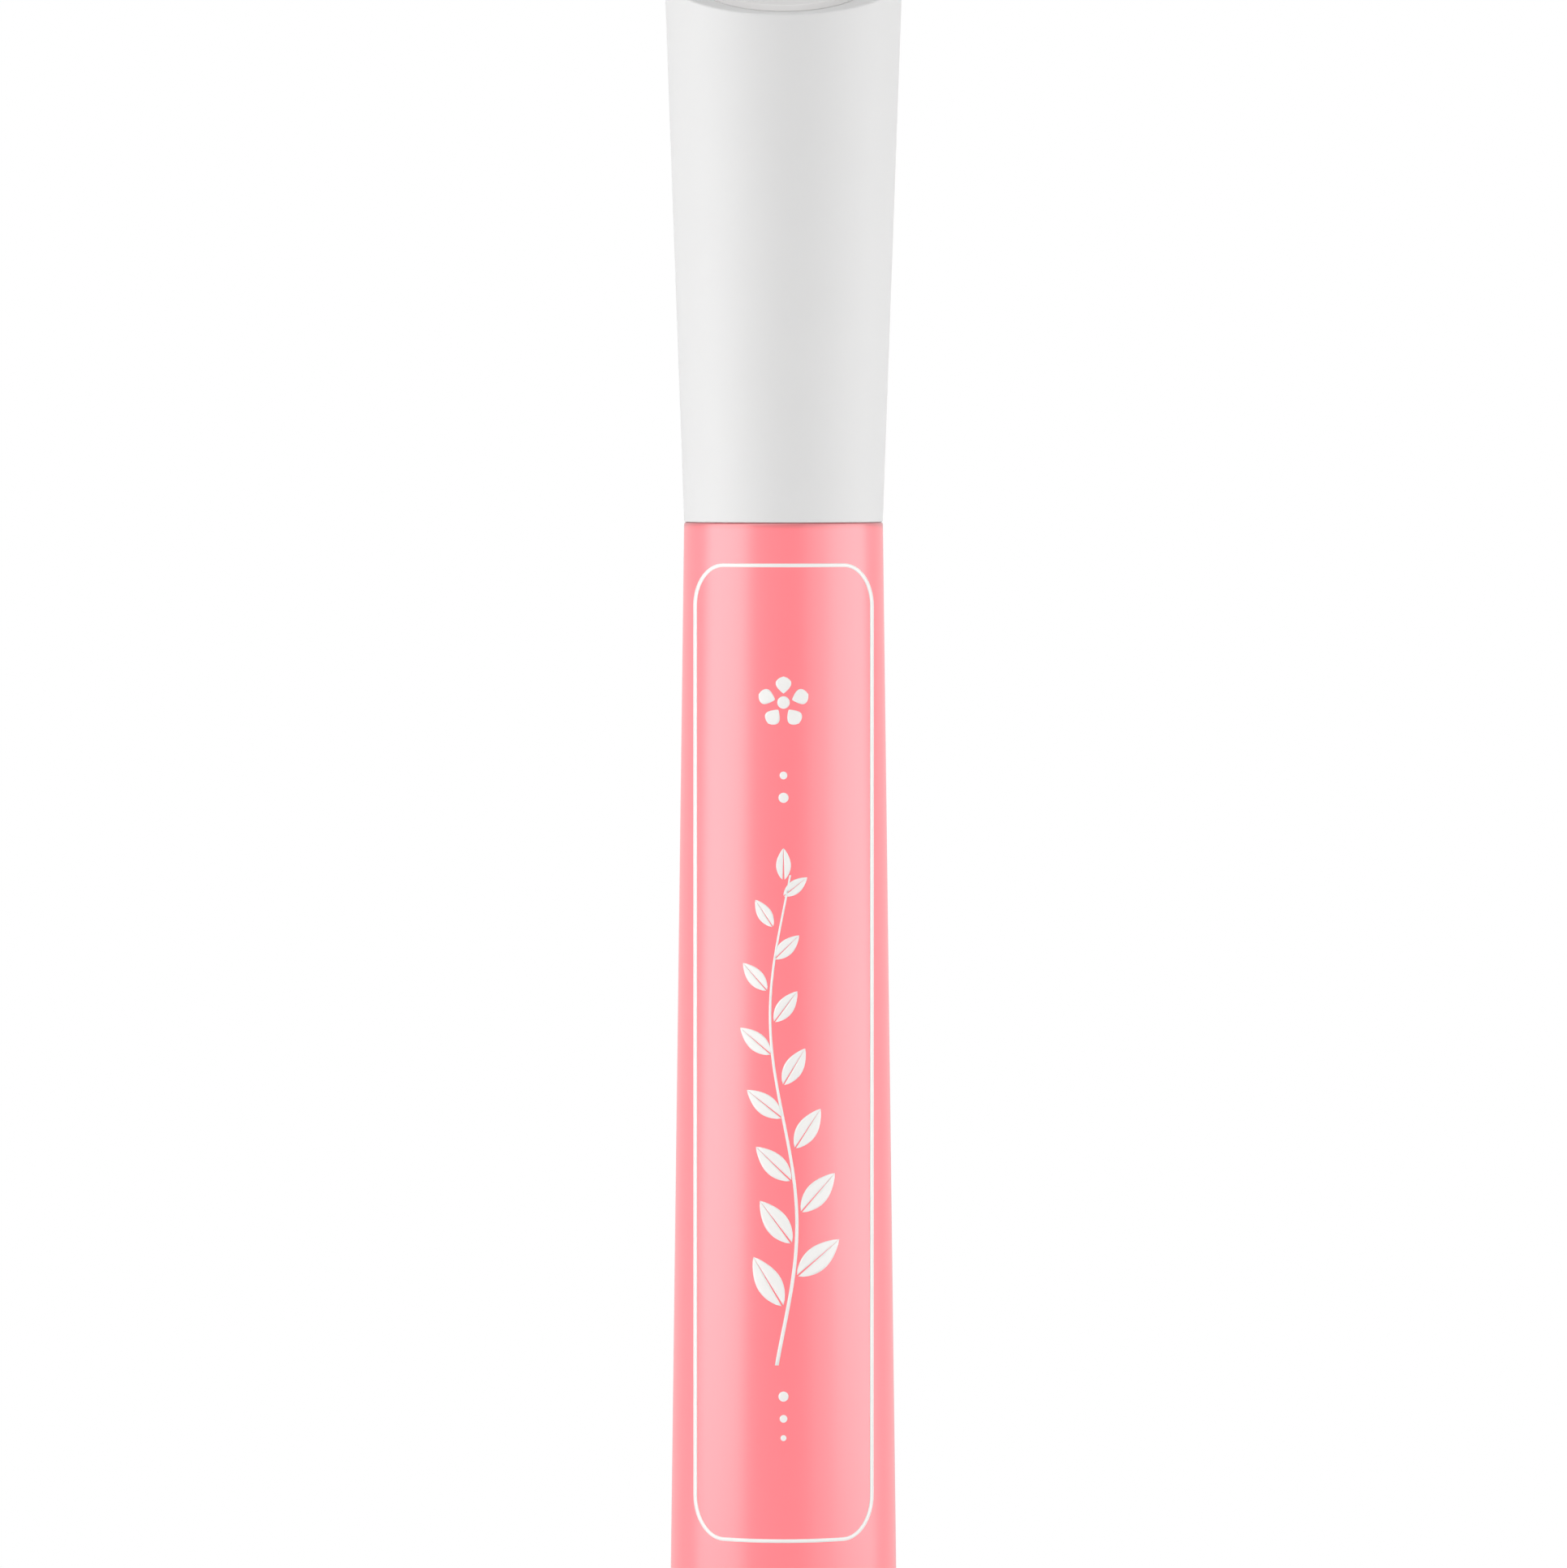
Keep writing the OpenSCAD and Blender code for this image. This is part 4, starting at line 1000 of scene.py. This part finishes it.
class PEN_OT_stage(bpy.types.Operator):
    """Stage: the pale floor, the soft studio lamps and the camera"""

    bl_idname = "pen.stage"
    bl_label = "Stage"

    def execute(self, context):
        stage = context.scene.pen_stage
        edges = [((-FLOOR_HALF, y), (FLOOR_HALF, y)) for y in (-FLOOR_HALF, FLOOR_HALF)]
        floor = flat_sheet("floor", [(edges, 1, False)])
        floor.transform(Matrix.Translation((0, 0, -FLOOR_DROP)) @ Matrix.Rotation(-pi / 2, 4, "X"))
        ground = placed("floor", floor)
        ground.data.materials.append(self.floor_finish())
        self.room(context, stage.room)
        self.side_lamp("left_lamp", -stage.left_start, -stage.left_end, stage.left)
        self.side_lamp("right_lamp", stage.right_start, stage.right_end, stage.right)
        self.side_lamp("right_edge", stage.right_start / 2, stage.right_start, stage.edge)
        self.lamp("front_lamp", *FRONT_LAMP, stage.front)
        self.lamp("top_lamp", *TOP_LAMP, stage.top)
        self.lamp("back_lamp", *BACK_LAMP, stage.back).visible_glossy = False
        eye = bpy.data.cameras.new("camera")
        eye.lens = stage.lens
        # The nearest and the farthest that is seen, in metres
        eye.clip_start, eye.clip_end = 0.01, 20
        camera = placed("camera", eye)
        aim = Vector((0, 0, stage.aim))
        camera.location = aim + stage.distance * Vector((0, -cos(stage.pitch), sin(stage.pitch)))
        camera.rotation_euler = (aim - camera.location).to_track_quat("-Z", "Y").to_euler()
        context.scene.camera = camera
        context.scene.view_settings.view_transform = "Standard"
        return {"FINISHED"}

    def side_lamp(self, name, start, end, bright):
        """A tall lamp on the floor beside the pen, that stands from one angle round the pen to
        another, counted from the camera's side."""
        stage = bpy.context.scene.pen_stage
        reach, height = stage.lamp_reach, stage.lamp_height
        middle, half = (start + end) / 2, abs(end - start) / 2
        place = (reach * sin(middle), -reach * cos(middle), height / 2)
        self.lamp(name, place, (2 * reach * tan(half), height), bright, height / 2)

    def lamp(self, name, place, size, bright, aim=PEN_MIDDLE):
        """A rectangular soft lamp that faces the pen's axis at a height, and that the camera
        doesn't see."""
        light = bpy.data.lights.new(name, "AREA")
        light.shape = "RECTANGLE"
        light.size, light.size_y = size
        light.energy = bright * pi * size[0] * size[1]
        lamp = placed(name, light)
        lamp.location = place
        lamp.rotation_euler = (Vector((0, 0, aim)) - Vector(place)).to_track_quat("-Z", "Y").to_euler()
        lamp.visible_camera = False
        return lamp

    def seen_directly(self, tree):
        """Two Values: 1 for what the camera sees straight, in a gloss or through a clear piece,
        and how bright the room is there. A gloss shows it a little darker, as between flags."""
        path = add_node(tree, "ShaderNodeLightPath")
        straight, gloss, clear = (Value(tree, path.outputs[f"Is {kind} Ray"])
                                  for kind in ("Camera", "Glossy", "Transmission"))
        seen = maths(tree, "MINIMUM", straight + gloss + clear, 1.0)
        bright = maths(tree, "MINIMUM", straight + clear + gloss * bpy.context.scene.pen_stage.gloss, 1.0)
        return seen, bright

    def floor_finish(self):
        """A pale matte floor. Away from the pen it turns into the white of the room."""
        material, tree, surface = blank_material("floor_pale")
        where = add_node(tree, "ShaderNodeTexCoord").outputs["Object"]
        mottle = add_node(tree, "ShaderNodeTexNoise", {"Vector": where, "Scale": 40.0})
        shade = blended(tree, mottle.outputs["Fac"], *FLOOR_SHADES)
        pale = add_node(tree, "ShaderNodeBsdfPrincipled", {"Base Color": shade, "Roughness": 0.9})
        seen, bright = self.seen_directly(tree)
        white = add_node(tree, "ShaderNodeEmission", {"Color": (1, 1, 1, 1), "Strength": bright})
        away = number(tree, "ShaderNodeVectorMath", {0: where}, "Value", operation="LENGTH")
        least, start, full = 0.35, 0.03, 0.12
        share = mixed(least, 1.0, eased(tree, away, start, full)) * seen
        both = add_node(tree, "ShaderNodeMixShader", {0: share, 1: pale, 2: white})
        tree.links.new(both.outputs[0], surface)
        return material

    def room(self, context, strength):
        """Even light from all round, which is white where it is seen."""
        world = bpy.data.worlds.new("room")
        context.scene.world = world
        world.use_nodes = True
        tree = world.node_tree
        background = next(n for n in tree.nodes if n.type == "BACKGROUND")
        background.inputs["Color"].default_value = (1, 1, 1, 1)
        seen, bright = self.seen_directly(tree)
        tree.links.new(mixed(strength, bright, seen).socket, background.inputs["Strength"])


PIECES = (PEN_OT_cap, PEN_OT_body, PEN_OT_print, PEN_OT_neck, PEN_OT_brush, PEN_OT_mechanism, PEN_OT_stage)
SETTINGS = {"pen_sizes": PenSizes, "pen_print": PrintSizes, "pen_brush": BrushSizes,
            "pen_colours": PenColours, "pen_stage": StageSizes}


class PEN_PT_panel(bpy.types.Panel):
    """The pen's sizes and colours, and a button for each group of pieces"""

    bl_idname = "PEN_PT_panel"
    bl_label = "Nail oil pen"
    bl_space_type = "VIEW_3D"
    bl_region_type = "UI"
    bl_category = "Pen"

    def draw(self, context):
        for attribute in SETTINGS:
            box = self.layout.box()
            group = getattr(context.scene, attribute)
            for key in group.__annotations__:
                box.prop(group, key)
        for piece in PIECES:
            self.layout.operator(piece.bl_idname)


def register():
    for cls in (*SETTINGS.values(), *PIECES, PEN_PT_panel):
        bpy.utils.register_class(cls)
    for attribute, cls in SETTINGS.items():
        setattr(bpy.types.Scene, attribute, bpy.props.PointerProperty(type=cls))


def unregister():
    for attribute in SETTINGS:
        delattr(bpy.types.Scene, attribute)
    for cls in (PEN_PT_panel, *reversed(PIECES), *reversed(SETTINGS.values())):
        bpy.utils.unregister_class(cls)


def main():
    register()
    for build in (bpy.ops.pen.cap, bpy.ops.pen.body, bpy.ops.pen.print, bpy.ops.pen.neck,
                  bpy.ops.pen.brush, bpy.ops.pen.mechanism, bpy.ops.pen.stage):
        build()


if __name__ == "__main__":
    main()
